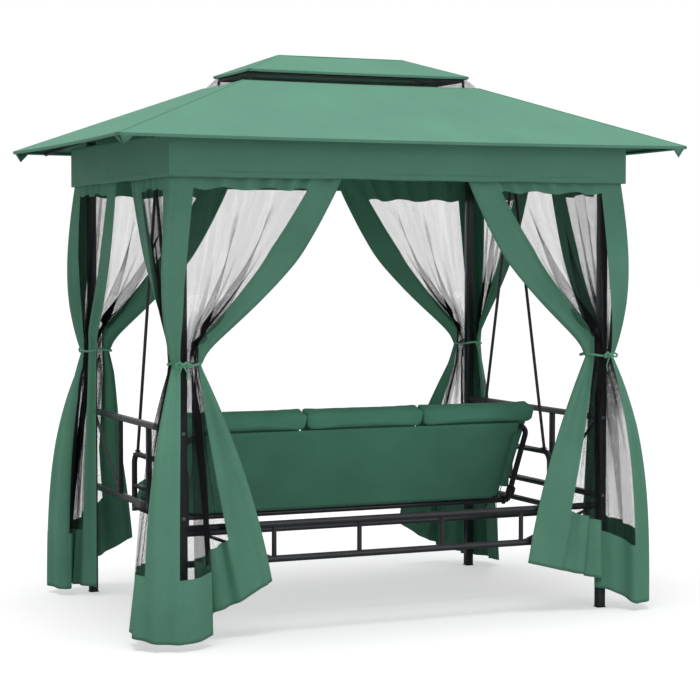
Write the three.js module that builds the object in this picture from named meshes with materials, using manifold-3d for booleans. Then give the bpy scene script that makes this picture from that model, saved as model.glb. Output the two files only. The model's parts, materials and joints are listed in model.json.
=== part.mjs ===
// A garden swing bench with a two-tier canopy and four net curtains tied back to its corner posts.
// Millimetres, +Z up. X runs along the bench, the seat faces -Y, and Z = 0 is the ground.
// The origin is the middle of the bounding box's base.
import * as THREE from 'three';
import { mergeVertices } from 'three/addons/utils/BufferGeometryUtils.js';
import { RoundedBoxGeometry } from 'three/addons/geometries/RoundedBoxGeometry.js';
import Module from 'manifold-3d';

const wasm = await Module();
wasm.setup();

// ---- driving dimensions ----
const GAP = 0.3;                    // clearance between pieces that touch
const REACH = 2;                    // how far a cutting solid runs past the piece it cuts
const ROUND_SIDES = 8;              // facets around a round tube
const BEND_STEPS = 3;               // facets along a tube's bend

const POST = { x: 959, y: 623, width: 36, wall: 1.5, top: 2040 };
const FOOT = { width: 42, plate: 3, plug: 32, plugHeight: 18 };
const BEAM = { width: 36, height: 36, wall: 1.5, z: 1965 };
const HANGER_BEAM = { x: 859, width: 40, wall: 2 };

const EAVE = { x: 1273, y: 796, z: 1999 };             // lower roof's outer edge
const ROOF_OPENING = { x: 555, y: 246, z: 2265 };      // its open top
const VENT_EAVE = { x: 520, y: 213, z: 2316 };         // vent roof's lower edge
const VENT_RIDGE = { x: 298, z: 2400 };
const ROOF_CLOTH = 4;
const VENT_NET = { inset: 5, low: 2262, topInset: 10, high: 2309, thickness: 1.5 };
const VALANCE = { x: 1031.5, y: 695.5, low: 1837, high: 2012, thickness: 3 };

const CROWN = { x: 535, y: 226, z: 2243, width: 20, wall: 1.5 };
const RAFTER = { start: [551, 246, 2235], end: [1130, 781, 1988], radius: 9, bore: 8 };
const VENT_FRAME = {
  x: 500, y: 200, footZ: 2253.5, eaveZ: 2298,
  ridgeX: 285, ridgeZ: 2380, radius: 6, bend: 12,
};

const PANEL = { railWidth: 25, topZ: 828, lowZ: 489, postWidth: 22, postY: 200, wall: 1.5 };
const PANEL_BRACE = { radius: 6.5, bore: 5.3, highY: 588, highZ: 822, lowY: 205, lowZ: 500 };
const LADDER = {
  topZ: 447, lowZ: 305, radius: 14, bore: 12.8,
  spacerX: [567, 189], spacerRadius: 10, spacerBore: 8.8,
};
const LADDER_BRACE = { radius: 6.5, bore: 5.3, highX: 920, highZ: 440, lowX: 580, lowZ: 312 };

const PIVOT = { y: 0, z: 1891, pin: 5, hole: 5.6 };
const BRACKET = { cheekOffset: 13, cheek: 4, depth: 40, drop: 16, plate: 4 };
const ROD = { radius: 7, eyeRadius: 13, eyeSides: 12, eyeThickness: 8, spread: 5, footY: [-283, 314] };
const ROD_FOOT = { length: 34, width: 22, thickness: 4 };

const END_FRAME = { x: 853, frontY: -333, rearY: 364, topZ: 656, midZ: 514, lowZ: 420, footZ: 400 };
const END_TUBE = { radius: 12.5, bore: 11.2, bend: 48, midRadius: 10, midBore: 8.8 };
const SEAT = { z: 415, frontY: -490, midY: -300, rearY: 0, sideX: 790, radius: 12.5, bore: 11.2 };
const SLAT = { radius: 8, bore: 6.8, pitch: 200, perSide: 3 };
const REAR_BAR = { y: 335, z: 382, radius: 11, bore: 9.8 };

const HINGE = { y: 46, z: 410, collarX: 792, collar: 8, hole: 13.6, outer: 20 };
const BACK = { lean: 27.6, height: 402, x: 814, radius: 12.5, bore: 11.2, bend: 50 };
const BACK_COVER = { x: 757, low: 26, high: 430, thickness: 3, offset: 13.5 };
const BACK_CUSHION = {
  width: 548, pitch: 550, low: 50, high: 498,
  capLow: 433, front: 105, back: 14, capBack: -16,
};
const SEAT_CUSHION = {
  width: 531, pitch: 535, frontY: -530, rearY: -58,
  low: 429, high: 530, lipY: -506, lipLow: 390,
};
const PILLOW = { x: [440, 792], y: [-365, -24], z: [533, 685] };
const CUSHION_EDGE = 22;            // rounding of a cushion's edges
const CUSHION_STEPS = 1;            // facets across that rounding

const CURTAIN = { thickness: 12, hemZ: 60, sideY: 667, endX: 1003, postGap: 10, sideFree: 250, endFree: 74 };

// ---- materials ----
const steel = () => new THREE.MeshStandardMaterial({ color: 0x34343c, roughness: 0.45, metalness: 0.6 });
const plastic = () => new THREE.MeshStandardMaterial({ color: 0x1c1c1f, roughness: 0.6, metalness: 0 });
const zinc = () => new THREE.MeshStandardMaterial({ color: 0x9a9ca0, roughness: 0.35, metalness: 0.9 });
const canopyCloth = () => new THREE.MeshStandardMaterial({ color: 0x5c9b80, roughness: 0.85, metalness: 0 });
const curtainCloth = () => new THREE.MeshStandardMaterial({ color: 0x4a7c64, roughness: 0.9, metalness: 0 });
const cushionCloth = () => new THREE.MeshStandardMaterial({ color: 0x5f9f7c, roughness: 0.9, metalness: 0 });
const netCloth = () => new THREE.MeshStandardMaterial({ color: 0xb9bbbe, roughness: 0.9, metalness: 0 });

// ---- solids ----
// Turns a closed three.js geometry into a solid whose faces point out.
function solid(geometry) {
  geometry.deleteAttribute('normal');
  geometry.deleteAttribute('uv');
  const merged = mergeVertices(geometry, 1e-3);
  const vertProperties = new Float32Array(merged.attributes.position.array);
  const triVerts = new Uint32Array(merged.index.array);
  const made = new wasm.Manifold(new wasm.Mesh({ numProp: 3, vertProperties, triVerts }));
  if (made.volume() > 0) return made;
  triVerts.reverse();
  return new wasm.Manifold(new wasm.Mesh({ numProp: 3, vertProperties, triVerts }));
}

function node(name, shape, material) {
  const { vertProperties, triVerts } = shape.getMesh();
  const geometry = new THREE.BufferGeometry();
  geometry.setAttribute('position', new THREE.BufferAttribute(vertProperties, 3));
  geometry.setIndex(new THREE.BufferAttribute(triVerts, 1));
  geometry.computeVertexNormals();
  const mesh = new THREE.Mesh(geometry, material);
  mesh.name = name;
  return mesh;
}

const joined = (shapes) => shapes.reduce((whole, shape) => whole.add(shape));

// A box between two opposite corners.
function block(low, high) {
  const size = high.map((value, axis) => value - low[axis]);
  const geometry = new THREE.BoxGeometry(...size);
  geometry.translate(...low.map((value, axis) => value + size[axis] / 2));
  return solid(geometry);
}

function roundedBlock(low, high, radius) {
  const size = high.map((value, axis) => value - low[axis]);
  const geometry = new RoundedBoxGeometry(...size, CUSHION_STEPS, radius);
  geometry.translate(...low.map((value, axis) => value + size[axis] / 2));
  return solid(geometry);
}

// A line through corner points, with each inner corner rounded to a bend radius.
class BentLine extends THREE.Curve {
  constructor(corners, bend) {
    super();
    const points = corners.map((corner) => new THREE.Vector3(...corner));
    const first = points[1].clone().sub(points[0]).normalize();
    this.stations = [{ point: points[0], tangent: first }];
    for (let i = 1; i < points.length - 1; i += 1) {
      this.addBend(points[i - 1], points[i], points[i + 1], bend);
    }
    const last = points[points.length - 1];
    this.stations.push({ point: last, tangent: last.clone().sub(points[points.length - 2]).normalize() });
  }

  addBend(before, corner, after, bend) {
    const inward = corner.clone().sub(before).normalize();
    const outward = after.clone().sub(corner).normalize();
    const turn = inward.angleTo(outward);
    const side = outward.clone().addScaledVector(inward, -Math.cos(turn)).normalize();
    const start = corner.clone().addScaledVector(inward, -bend * Math.tan(turn / 2));
    for (let step = 0; step <= BEND_STEPS; step += 1) {
      const angle = (turn * step) / BEND_STEPS;
      const point = start.clone().addScaledVector(side, bend * (1 - Math.cos(angle)));
      point.addScaledVector(inward, bend * Math.sin(angle));
      const tangent = inward.clone().multiplyScalar(Math.cos(angle)).addScaledVector(side, Math.sin(angle));
      this.stations.push({ point, tangent });
    }
  }

  at(t) { return this.stations[Math.round(t * (this.stations.length - 1))]; }
  getPointAt(t) { return this.at(t).point.clone(); }
  getTangentAt(t) { return this.at(t).tangent.clone(); }
}

function rod(corners, radius, bend = 0, sides = ROUND_SIDES) {
  const outline = [];
  for (let i = 0; i < sides; i += 1) {
    const angle = (2 * Math.PI * i) / sides;
    outline.push(new THREE.Vector2(radius * Math.cos(angle), radius * Math.sin(angle)));
  }
  const line = new BentLine(corners, bend);
  const options = { steps: line.stations.length - 1, bevelEnabled: false, extrudePath: line };
  return solid(new THREE.ExtrudeGeometry(new THREE.Shape(outline), options));
}

// Moves the two ends of a run of corners outwards along their own directions.
function lengthened(corners, extra) {
  const points = corners.map((corner) => new THREE.Vector3(...corner));
  const count = points.length;
  const stretch = (end, next) => end.clone().sub(next).normalize().multiplyScalar(extra).add(end);
  const start = stretch(points[0], points[1]);
  const finish = stretch(points[count - 1], points[count - 2]);
  return [start.toArray(), ...corners.slice(1, -1), finish.toArray()];
}

// A round tube as its outside and its bore. An open end lets the bore run out of it.
function tube(corners, radius, bore, { bend = 0, open = false } = {}) {
  const borePath = open ? lengthened(corners, REACH) : corners;
  return { outside: rod(corners, radius, bend), bore: rod(borePath, bore, bend) };
}

// A square tube along one axis between two points on its centre line.
function boxTube(start, end, width, wall, open = true) {
  const spread = (half, extra) => {
    const low = start.map((value, axis) => value - (value === end[axis] ? half : extra));
    const high = end.map((value, axis) => value + (value === start[axis] ? half : extra));
    return block(low, high);
  };
  return { outside: spread(width / 2, 0), bore: spread(width / 2 - wall, open ? REACH : 0) };
}

// Tubes welded into one piece, with their bores joined inside it.
function welded(tubes) {
  return joined(tubes.map((each) => each.outside)).subtract(joined(tubes.map((each) => each.bore)));
}

// A ring of rectangular outline, swept from [halfX, halfY, z] points around the four corners.
function frustumRing(profile) {
  const corners = [[1, 1], [-1, 1], [-1, -1], [1, -1]];
  const positions = corners.flatMap(([sx, sy]) => profile.flatMap(([x, y, z]) => [sx * x, sy * y, z]));
  const index = [];
  const count = profile.length;
  for (let c = 0; c < corners.length; c += 1) {
    for (let p = 0; p < count; p += 1) {
      const a = c * count + p;
      const b = c * count + ((p + 1) % count);
      const d = ((c + 1) % corners.length) * count + p;
      const e = ((c + 1) % corners.length) * count + ((p + 1) % count);
      index.push(a, d, b, b, d, e);
    }
  }
  return solid(indexed(positions, index));
}

function indexed(positions, index) {
  const geometry = new THREE.BufferGeometry();
  geometry.setAttribute('position', new THREE.Float32BufferAttribute(positions, 3));
  geometry.setIndex(index);
  return geometry;
}

const CORNERS = [
  { name: 'rear_left', sx: 1, sy: 1 },
  { name: 'rear_right', sx: -1, sy: 1 },
  { name: 'front_left', sx: 1, sy: -1 },
  { name: 'front_right', sx: -1, sy: -1 },
];
const ENDS = [{ name: 'left', sx: 1 }, { name: 'right', sx: -1 }];

// ---- gazebo frame ----
function post({ sx, sy }) {
  const x = sx * POST.x;
  const y = sy * POST.y;
  return welded([boxTube([x, y, FOOT.plate + GAP], [x, y, POST.top], POST.width, POST.wall)]);
}

function footPlug({ sx, sy }) {
  const x = sx * POST.x;
  const y = sy * POST.y;
  const half = FOOT.width / 2;
  const plug = FOOT.plug / 2;
  const plate = block([x - half, y - half, 0], [x + half, y + half, FOOT.plate]);
  return plate.add(block([x - plug, y - plug, FOOT.plate - 1], [x + plug, y + plug, FOOT.plugHeight]));
}

function longBeam(sy) {
  const x = POST.x - POST.width / 2 - GAP;
  const y = sy * POST.y;
  return welded([boxTube([-x, y, BEAM.z], [x, y, BEAM.z], BEAM.width, BEAM.wall)]);
}

function crossBeam(x, width, wall) {
  const y = POST.y - POST.width / 2 - GAP;
  return welded([boxTube([x, -y, BEAM.z], [x, y, BEAM.z], width, wall)]);
}

function rafter({ sx, sy }) {
  const placed = ([x, y, z]) => [sx * x, sy * y, z];
  const run = [placed(RAFTER.start), placed(RAFTER.end)];
  return welded([tube(run, RAFTER.radius, RAFTER.bore, { open: true })]);
}

function crownFrame() {
  const { x, y, z, width, wall } = CROWN;
  const end = x + width / 2;
  const long = [1, -1].map((s) => boxTube([-end, s * y, z], [end, s * y, z], width, wall));
  const short = [1, -1].map((s) => boxTube([s * x, -y, z], [s * x, y, z], width, wall, false));
  return welded([...long, ...short]);
}

// Solid bars: four feet on the crown, four short hips and the ridge that hold up the vent roof.
function ventFrame() {
  const { x, y, footZ, eaveZ, ridgeX, ridgeZ, radius, bend } = VENT_FRAME;
  const legs = CORNERS.map(({ sx, sy }) => {
    return rod([[sx * x, sy * y, footZ], [sx * x, sy * y, eaveZ], [sx * ridgeX, 0, ridgeZ]], radius, bend);
  });
  return joined([...legs, rod([[-ridgeX - radius, 0, ridgeZ], [ridgeX + radius, 0, ridgeZ]], radius)]);
}

function endPanel(sx) {
  const x = sx * POST.x;
  const y = POST.y - POST.width / 2 - GAP;
  const rail = (z) => boxTube([x, -y, z], [x, y, z], PANEL.railWidth, PANEL.wall);
  const rails = [PANEL.topZ, PANEL.lowZ].map(rail);
  const sides = [1, -1].flatMap((sy) => {
    const upright = [[x, sy * PANEL.postY, PANEL.lowZ], [x, sy * PANEL.postY, PANEL.topZ]];
    const high = [x, sy * PANEL_BRACE.highY, PANEL_BRACE.highZ];
    const low = [x, sy * PANEL_BRACE.lowY, PANEL_BRACE.lowZ];
    return [
      boxTube(...upright, PANEL.postWidth, PANEL.wall, false),
      tube([high, low], PANEL_BRACE.radius, PANEL_BRACE.bore),
    ];
  });
  return welded([...rails, ...sides]);
}

function ladder() {
  const y = POST.y;
  const x = POST.x - POST.width / 2 - GAP;
  const rails = [LADDER.topZ, LADDER.lowZ].map((z) => {
    return tube([[-x, y, z], [x, y, z]], LADDER.radius, LADDER.bore, { open: true });
  });
  const spacers = [1, -1].flatMap((sx) => LADDER.spacerX.map((at) => {
    const run = [[sx * at, y, LADDER.lowZ], [sx * at, y, LADDER.topZ]];
    return tube(run, LADDER.spacerRadius, LADDER.spacerBore);
  }));
  const braces = [1, -1].map((sx) => {
    const high = [sx * LADDER_BRACE.highX, y, LADDER_BRACE.highZ];
    const run = [high, [sx * LADDER_BRACE.lowX, y, LADDER_BRACE.lowZ]];
    return tube(run, LADDER_BRACE.radius, LADDER_BRACE.bore);
  });
  return welded([...rails, ...spacers, ...braces]);
}

// ---- roof cloths ----
function lowerCanopy() {
  return frustumRing([
    [EAVE.x, EAVE.y, EAVE.z - ROOF_CLOTH],
    [EAVE.x, EAVE.y, EAVE.z],
    [ROOF_OPENING.x, ROOF_OPENING.y, ROOF_OPENING.z],
    [ROOF_OPENING.x, ROOF_OPENING.y, ROOF_OPENING.z - ROOF_CLOTH],
  ]);
}

function ventCanopy() {
  const skin = (drop) => {
    const eaves = [[1, 1], [-1, 1], [-1, -1], [1, -1]];
    const corners = eaves.flatMap(([sx, sy]) => [sx * VENT_EAVE.x, sy * VENT_EAVE.y, VENT_EAVE.z - drop]);
    return [...corners, VENT_RIDGE.x, 0, VENT_RIDGE.z - drop, -VENT_RIDGE.x, 0, VENT_RIDGE.z - drop];
  };
  const faces = [[0, 1, 5], [0, 5, 4], [1, 2, 5], [2, 3, 4], [2, 4, 5], [3, 0, 4]];
  const under = 6;                  // where the lower skin's points start
  const top = faces.flat();
  const bottom = faces.flatMap(([a, b, c]) => [c + under, b + under, a + under]);
  const rim = [0, 1, 2, 3].flatMap((a) => {
    const b = (a + 1) % 4;
    return [b, a, a + under, b, a + under, b + under];
  });
  return solid(indexed([...skin(0), ...skin(ROOF_CLOTH)], [...top, ...bottom, ...rim]));
}

function ventNet() {
  const { inset, low, topInset, high, thickness } = VENT_NET;
  const foot = [ROOF_OPENING.x - inset, ROOF_OPENING.y - inset];
  const head = [VENT_EAVE.x - topInset, VENT_EAVE.y - topInset];
  return frustumRing([
    [foot[0] - thickness, foot[1] - thickness, low],
    [...foot, low],
    [...head, high],
    [head[0] - thickness, head[1] - thickness, high],
  ]);
}

function valance() {
  const { x, y, low, high, thickness } = VALANCE;
  return frustumRing([
    [x - thickness, y - thickness, low],
    [x, y, low],
    [x, y, high],
    [x - thickness, y - thickness, high],
  ]);
}

// ---- curtains ----
// A curtain hangs round each corner post. Its two halves are drawn back to the post and tied there.
// These rows run down a half's free edge. Above the tie: height, and how much of its reach is still open.
const ABOVE_TIE = [
  [1935, 1], [1820, 0.93], [1650, 0.785], [1513, 0.65], [1400, 0.48], [1315, 0.34], [1200, 0.13],
];
// At the tie and below it: height, and distance from the post's edge. Side halves stay clear of the swing.
const SIDE_BELOW_TIE = [[1120, 92], [1070, 92], [700, 110], [400, 120], [345, 200], [222, 360]];
const END_BELOW_TIE = [[1120, 92], [1070, 92], [800, 150], [513, 215], [200, 270]];

// A plain slab of one tied half's outline. along(s, offset, z) places a point, s away from the side's middle.
function half({ postEdge, cornerEdge, free, below, along }) {
  const tied = below[0][1];
  const open = ABOVE_TIE.map(([z, share]) => [postEdge - tied - (postEdge - free - tied) * share, z]);
  const fallen = below.map(([z, width]) => [postEdge - width, z]);
  const outline = [[cornerEdge, CURTAIN.hemZ], [cornerEdge, ABOVE_TIE[0][0]], ...open, ...fallen];
  const shape = new THREE.Shape(outline.map(([s, z]) => new THREE.Vector2(s, z)));
  const slab = new THREE.ExtrudeGeometry(shape, { depth: CURTAIN.thickness, bevelEnabled: false });
  const place = slab.attributes.position;
  for (let i = 0; i < place.count; i += 1) {
    place.setXYZ(i, ...along(place.getX(i), place.getZ(i) - CURTAIN.thickness / 2, place.getY(i)));
  }
  return solid(slab);
}

function curtain({ sx, sy }) {
  const { sideY, endX, thickness, postGap, sideFree, endFree } = CURTAIN;
  const side = half({
    postEdge: POST.x + postGap,
    cornerEdge: endX + thickness / 2,
    free: sideFree,
    below: SIDE_BELOW_TIE,
    along: (s, offset, z) => [sx * s, sy * (sideY + offset), z],
  });
  const end = half({
    postEdge: POST.y + postGap,
    cornerEdge: sideY + thickness / 2,
    free: endFree,
    below: END_BELOW_TIE,
    along: (s, offset, z) => [sx * (endX + offset), sy * s, z],
  });
  return side.add(end);
}

// ---- swing ----
// A plate under the hanger beam with two cheeks that hold the pivot pin.
function hangerBracket(sx) {
  const x = sx * HANGER_BEAM.x;
  const top = BEAM.z - HANGER_BEAM.width / 2 - GAP;
  const half = BRACKET.depth / 2;
  const outer = BRACKET.cheekOffset + BRACKET.cheek / 2;
  const plate = block([x - outer, -half, top - BRACKET.plate], [x + outer, half, top]);
  const cheeks = [1, -1].map((side) => {
    const at = x + side * BRACKET.cheekOffset;
    const low = [at - BRACKET.cheek / 2, -half, PIVOT.z - BRACKET.drop];
    return block(low, [at + BRACKET.cheek / 2, half, top - 1]);
  });
  const hole = rod([[x - half, 0, PIVOT.z], [x + half, 0, PIVOT.z]], PIVOT.hole);
  return joined([plate, ...cheeks]).subtract(hole);
}

function pivotPin(sx) {
  const x = sx * HANGER_BEAM.x;
  const shank = BRACKET.cheekOffset + BRACKET.cheek / 2 + GAP;
  const headEnds = (side) => [[x + side * shank, 0, PIVOT.z], [x + side * (shank + 5), 0, PIVOT.z]];
  const head = (side) => rod(headEnds(side), PIVOT.pin + 4, 0, 6);
  const pin = rod([[x - shank - 1, 0, PIVOT.z], [x + shank + 1, 0, PIVOT.z]], PIVOT.pin);
  return joined([pin, head(1), head(-1)]);
}

// A hanging rod: an eye on the pivot pin and a foot plate on the end frame's top bar.
function hangingRod(sx, which) {
  const x = sx * (HANGER_BEAM.x + (which === 0 ? -ROD.spread : ROD.spread));
  const footX = sx * END_FRAME.x;
  const footY = ROD.footY[which];
  const footZ = END_FRAME.topZ + END_TUBE.radius + GAP;
  const half = ROD.eyeThickness / 2;
  const eye = rod([[x - half, 0, PIVOT.z], [x + half, 0, PIVOT.z]], ROD.eyeRadius, 0, ROD.eyeSides);
  const hole = rod([[x - half - REACH, 0, PIVOT.z], [x + half + REACH, 0, PIVOT.z]], PIVOT.hole);
  const down = new THREE.Vector3(footX - x, footY, footZ - PIVOT.z).setLength(ROD.eyeRadius - 3);
  const neck = [x + down.x, down.y, PIVOT.z + down.z];
  const tip = [x + down.x * 4, down.y * 4, PIVOT.z + down.z * 4];
  const shaft = rod([tip, [footX, footY, footZ + ROD_FOOT.thickness / 2]], ROD.radius);
  const flattened = rod([neck, tip], half - 0.2);
  const foot = block(
    [footX - ROD_FOOT.width / 2, footY - ROD_FOOT.length / 2, footZ],
    [footX + ROD_FOOT.width / 2, footY + ROD_FOOT.length / 2, footZ + ROD_FOOT.thickness],
  );
  return joined([eye, flattened, shaft, foot]).subtract(hole);
}

function endFrame(sx) {
  const x = sx * END_FRAME.x;
  const { frontY, rearY, topZ, midZ, lowZ, footZ } = END_FRAME;
  const hoop = [[x, frontY, footZ], [x, frontY, topZ], [x, rearY, topZ], [x, rearY, footZ]];
  const across = (z) => [[x, frontY, z], [x, rearY, z]];
  return welded([
    tube(hoop, END_TUBE.radius, END_TUBE.bore, { bend: END_TUBE.bend, open: true }),
    tube(across(lowZ), END_TUBE.radius - 0.4, END_TUBE.bore - 0.4),
    tube(across(midZ), END_TUBE.midRadius, END_TUBE.midBore),
  ]);
}

function seatFrame() {
  const { z, frontY, midY, rearY, sideX, radius, bore } = SEAT;
  const wide = END_FRAME.x - END_TUBE.radius - GAP;
  const crosswise = (y) => tube([[-wide, y, z], [wide, y, z]], radius, bore, { open: true });
  const crossways = [midY, rearY].map(crosswise);
  const front = [[-sideX, rearY, z], [-sideX, frontY, z], [sideX, frontY, z], [sideX, rearY, z]];
  const slats = [];
  for (let i = -SLAT.perSide; i <= SLAT.perSide; i += 1) {
    slats.push(tube([[i * SLAT.pitch, frontY, z], [i * SLAT.pitch, rearY, z]], SLAT.radius, SLAT.bore));
  }
  return welded([...crossways, tube(front, radius, bore, { bend: 40 }), ...slats]);
}

// The bar between the end frames that the backrest comes down on when it is laid flat.
function rearBar() {
  const wide = END_FRAME.x - END_TUBE.radius - GAP;
  const { y, z, radius, bore } = REAR_BAR;
  return welded([tube([[-wide, y, z], [wide, y, z]], radius, bore, { open: true })]);
}

// A collar around the backrest's lowest tube, on a web from the seat's rear tube.
function hingeCollar(sx) {
  const x = sx * HINGE.collarX;
  const half = HINGE.collar / 2;
  const ends = (extra) => [[x - half - extra, HINGE.y, HINGE.z], [x + half + extra, HINGE.y, HINGE.z]];
  const web = block([x - half, SEAT.rearY, HINGE.z - 14], [x + half, HINGE.y - 8, HINGE.z + 8]);
  const clear = REACH + half;
  const seatEnds = [[x - clear, SEAT.rearY, SEAT.z], [x + clear, SEAT.rearY, SEAT.z]];
  const seatTube = rod(seatEnds, SEAT.radius + 0.7, 0, 20);
  const collar = rod(ends(0), HINGE.outer, 0, 16).add(web).subtract(seatTube);
  return collar.subtract(rod(ends(REACH), HINGE.hole, 0, 16));
}

// ---- backrest ----
// Backrest pieces are drawn upright on the hinge line, with -Y as their front, and leaned back together.
const leaned = (shape) => shape.rotate([-BACK.lean, 0, 0]).translate([0, HINGE.y, HINGE.z]);

function backFrame() {
  const { x, height, radius, bore, bend } = BACK;
  const hoop = [[-x, 0, 0], [-x, 0, height], [x, 0, height], [x, 0, 0]];
  const axle = [[-x, 0, 0], [x, 0, 0]];
  const opening = {
    outside: rod(hoop, radius, bend),
    bore: rod(lengthened(hoop, radius + REACH), bore, bend),
  };
  return leaned(welded([opening, tube(axle, radius - 0.3, bore)]));
}

function backCover() {
  const { x, low, high, thickness, offset } = BACK_COVER;
  return leaned(block([-x, offset, low], [x, offset + thickness, high]));
}

function backCushion(column) {
  const c = BACK_CUSHION;
  const left = column * c.pitch - c.width / 2;
  const right = left + c.width;
  const pad = roundedBlock([left, -c.front, c.low], [right, -c.back, c.high], CUSHION_EDGE);
  const cap = roundedBlock([left, -c.front, c.capLow], [right, -c.capBack, c.high], CUSHION_EDGE);
  return leaned(pad.add(cap));
}

// ---- loose and seat cushions ----
function seatCushion(column) {
  const c = SEAT_CUSHION;
  const left = column * c.pitch - c.width / 2;
  const right = left + c.width;
  const pad = roundedBlock([left, c.frontY, c.low], [right, c.rearY, c.high], CUSHION_EDGE);
  return pad.add(roundedBlock([left, c.frontY, c.lipLow], [right, c.lipY, c.high - CUSHION_EDGE], 8));
}

function pillow(sx) {
  const xs = PILLOW.x.map((x) => sx * x).sort((a, b) => a - b);
  return roundedBlock([xs[0], PILLOW.y[0], PILLOW.z[0]], [xs[1], PILLOW.y[1], PILLOW.z[1]], 60);
}

// ---- assembly ----
const bench = new THREE.Group();
const COLUMNS = [['left', 1], ['middle', 0], ['right', -1]];

function addGazebo(group) {
  CORNERS.forEach((corner) => {
    group.add(node(`post_${corner.name}`, post(corner), steel()));
    group.add(node(`foot_plug_${corner.name}`, footPlug(corner), plastic()));
    group.add(node(`hip_rafter_${corner.name}`, rafter(corner), steel()));
  });
  group.add(node('top_beam_rear', longBeam(1), steel()), node('top_beam_front', longBeam(-1), steel()));
  ENDS.forEach(({ name, sx }) => {
    group.add(node(`top_beam_${name}`, crossBeam(sx * POST.x, BEAM.width, BEAM.wall), steel()));
    const hangerBeam = crossBeam(sx * HANGER_BEAM.x, HANGER_BEAM.width, HANGER_BEAM.wall);
    group.add(node(`hanger_beam_${name}`, hangerBeam, steel()));
    group.add(node(`hanger_bracket_${name}`, hangerBracket(sx), steel()));
    group.add(node(`end_panel_${name}`, endPanel(sx), steel()));
  });
  group.add(node('rear_ladder', ladder(), steel()));
  group.add(node('crown_frame', crownFrame(), steel()), node('vent_frame', ventFrame(), steel()));
}

function addCloths(group) {
  group.add(node('lower_canopy', lowerCanopy(), canopyCloth()));
  group.add(node('vent_canopy', ventCanopy(), canopyCloth()));
  group.add(node('vent_net', ventNet(), netCloth()), node('valance', valance(), canopyCloth()));
  CORNERS.forEach((corner) => group.add(node(`curtain_${corner.name}`, curtain(corner), curtainCloth())));
}

function addSwing(group) {
  ENDS.forEach(({ name, sx }) => {
    group.add(node(`pivot_pin_${name}`, pivotPin(sx), zinc()));
    group.add(node(`hanging_rod_${name}_front`, hangingRod(sx, 0), steel()));
    group.add(node(`hanging_rod_${name}_rear`, hangingRod(sx, 1), steel()));
    group.add(node(`end_frame_${name}`, endFrame(sx), steel()));
    group.add(node(`hinge_collar_${name}`, hingeCollar(sx), steel()));
    group.add(node(`pillow_${name}`, pillow(sx), cushionCloth()));
  });
  group.add(node('seat_frame', seatFrame(), steel()), node('rear_bar', rearBar(), steel()));
  COLUMNS.forEach(([name, column]) => {
    group.add(node(`seat_cushion_${name}`, seatCushion(column), cushionCloth()));
  });
}

function addBackrest(group) {
  group.add(node('backrest_frame', backFrame(), steel()));
  group.add(node('backrest_cover', backCover(), cushionCloth()));
  COLUMNS.forEach(([name, column]) => {
    group.add(node(`back_cushion_${name}`, backCushion(column), cushionCloth()));
  });
}

[addGazebo, addCloths, addSwing, addBackrest].forEach((add) => {
  const group = new THREE.Group();
  add(group);
  bench.add(group);
});

export default bench;
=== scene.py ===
# Looks for a garden swing bench under a two-tier canopy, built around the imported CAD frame.
# Metres, +Z up. X runs along the bench, the seat faces -Y and Z = 0 is the ground.
import json
import math

import bmesh
import bpy
import numpy as np
from mathutils import Matrix, Vector, noise

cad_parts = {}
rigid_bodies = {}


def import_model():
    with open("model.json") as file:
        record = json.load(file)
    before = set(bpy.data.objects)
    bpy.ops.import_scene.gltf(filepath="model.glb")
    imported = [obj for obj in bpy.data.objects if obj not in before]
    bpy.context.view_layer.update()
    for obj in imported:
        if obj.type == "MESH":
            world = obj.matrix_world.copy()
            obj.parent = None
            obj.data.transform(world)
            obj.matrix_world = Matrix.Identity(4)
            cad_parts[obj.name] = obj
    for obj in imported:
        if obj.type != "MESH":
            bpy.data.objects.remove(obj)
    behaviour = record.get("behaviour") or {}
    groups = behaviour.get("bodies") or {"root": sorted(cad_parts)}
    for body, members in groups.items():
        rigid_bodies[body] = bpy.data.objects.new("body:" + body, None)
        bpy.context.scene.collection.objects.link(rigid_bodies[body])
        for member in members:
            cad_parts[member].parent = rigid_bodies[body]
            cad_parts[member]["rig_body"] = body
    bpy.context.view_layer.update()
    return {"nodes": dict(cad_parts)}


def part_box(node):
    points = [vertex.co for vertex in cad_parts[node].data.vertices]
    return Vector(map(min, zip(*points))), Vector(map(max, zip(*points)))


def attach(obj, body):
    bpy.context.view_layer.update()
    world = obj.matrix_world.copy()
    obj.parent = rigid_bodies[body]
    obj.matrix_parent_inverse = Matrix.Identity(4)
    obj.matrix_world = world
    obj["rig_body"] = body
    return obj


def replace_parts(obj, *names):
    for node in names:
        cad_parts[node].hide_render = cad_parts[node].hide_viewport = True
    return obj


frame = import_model()

CORNERS = {"rear_left": (1, 1), "rear_right": (-1, 1), "front_left": (1, -1), "front_right": (-1, -1)}
ENDS = {"left": 1, "right": -1}
COLUMNS = {"left": 1, "middle": 0, "right": -1}

# Linear colours.
CANOPY = (0.152, 0.372, 0.265)
CURTAIN = (0.148, 0.372, 0.262)
CUSHION = (0.128, 0.380, 0.258)
STEEL = (0.038, 0.039, 0.049)
NET = (0.030, 0.031, 0.036)
RIBBON = (0.19, 0.50, 0.33)
PLASTIC = (0.012, 0.012, 0.014)
ZINC = (0.50, 0.51, 0.53)

# Brightness of woven cloth against its colour: in its hollows, and more for each direction of thread. This
# paints shade into the hollows between threads.
WEAVE_SHADING = {"hollow": 1.47, "thread": 0.02}

TUBE_SIDES = 20
BEND_STEPS = 7
SHARP = math.radians(40)
WELD_SUNK = 0.001             # how far a weld bead's ring lies inside the tube that it sits on


# ---- materials ----
def add_node(material, kind, inputs=(), **settings):
    made = material.node_tree.nodes.new("ShaderNode" + kind)
    for key, value in settings.items():
        setattr(made, key, value)
    for key, value in dict(inputs).items():
        made.inputs[key].default_value = value
    return made


def join(material, start, end):
    material.node_tree.links.new(start, end)


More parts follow.
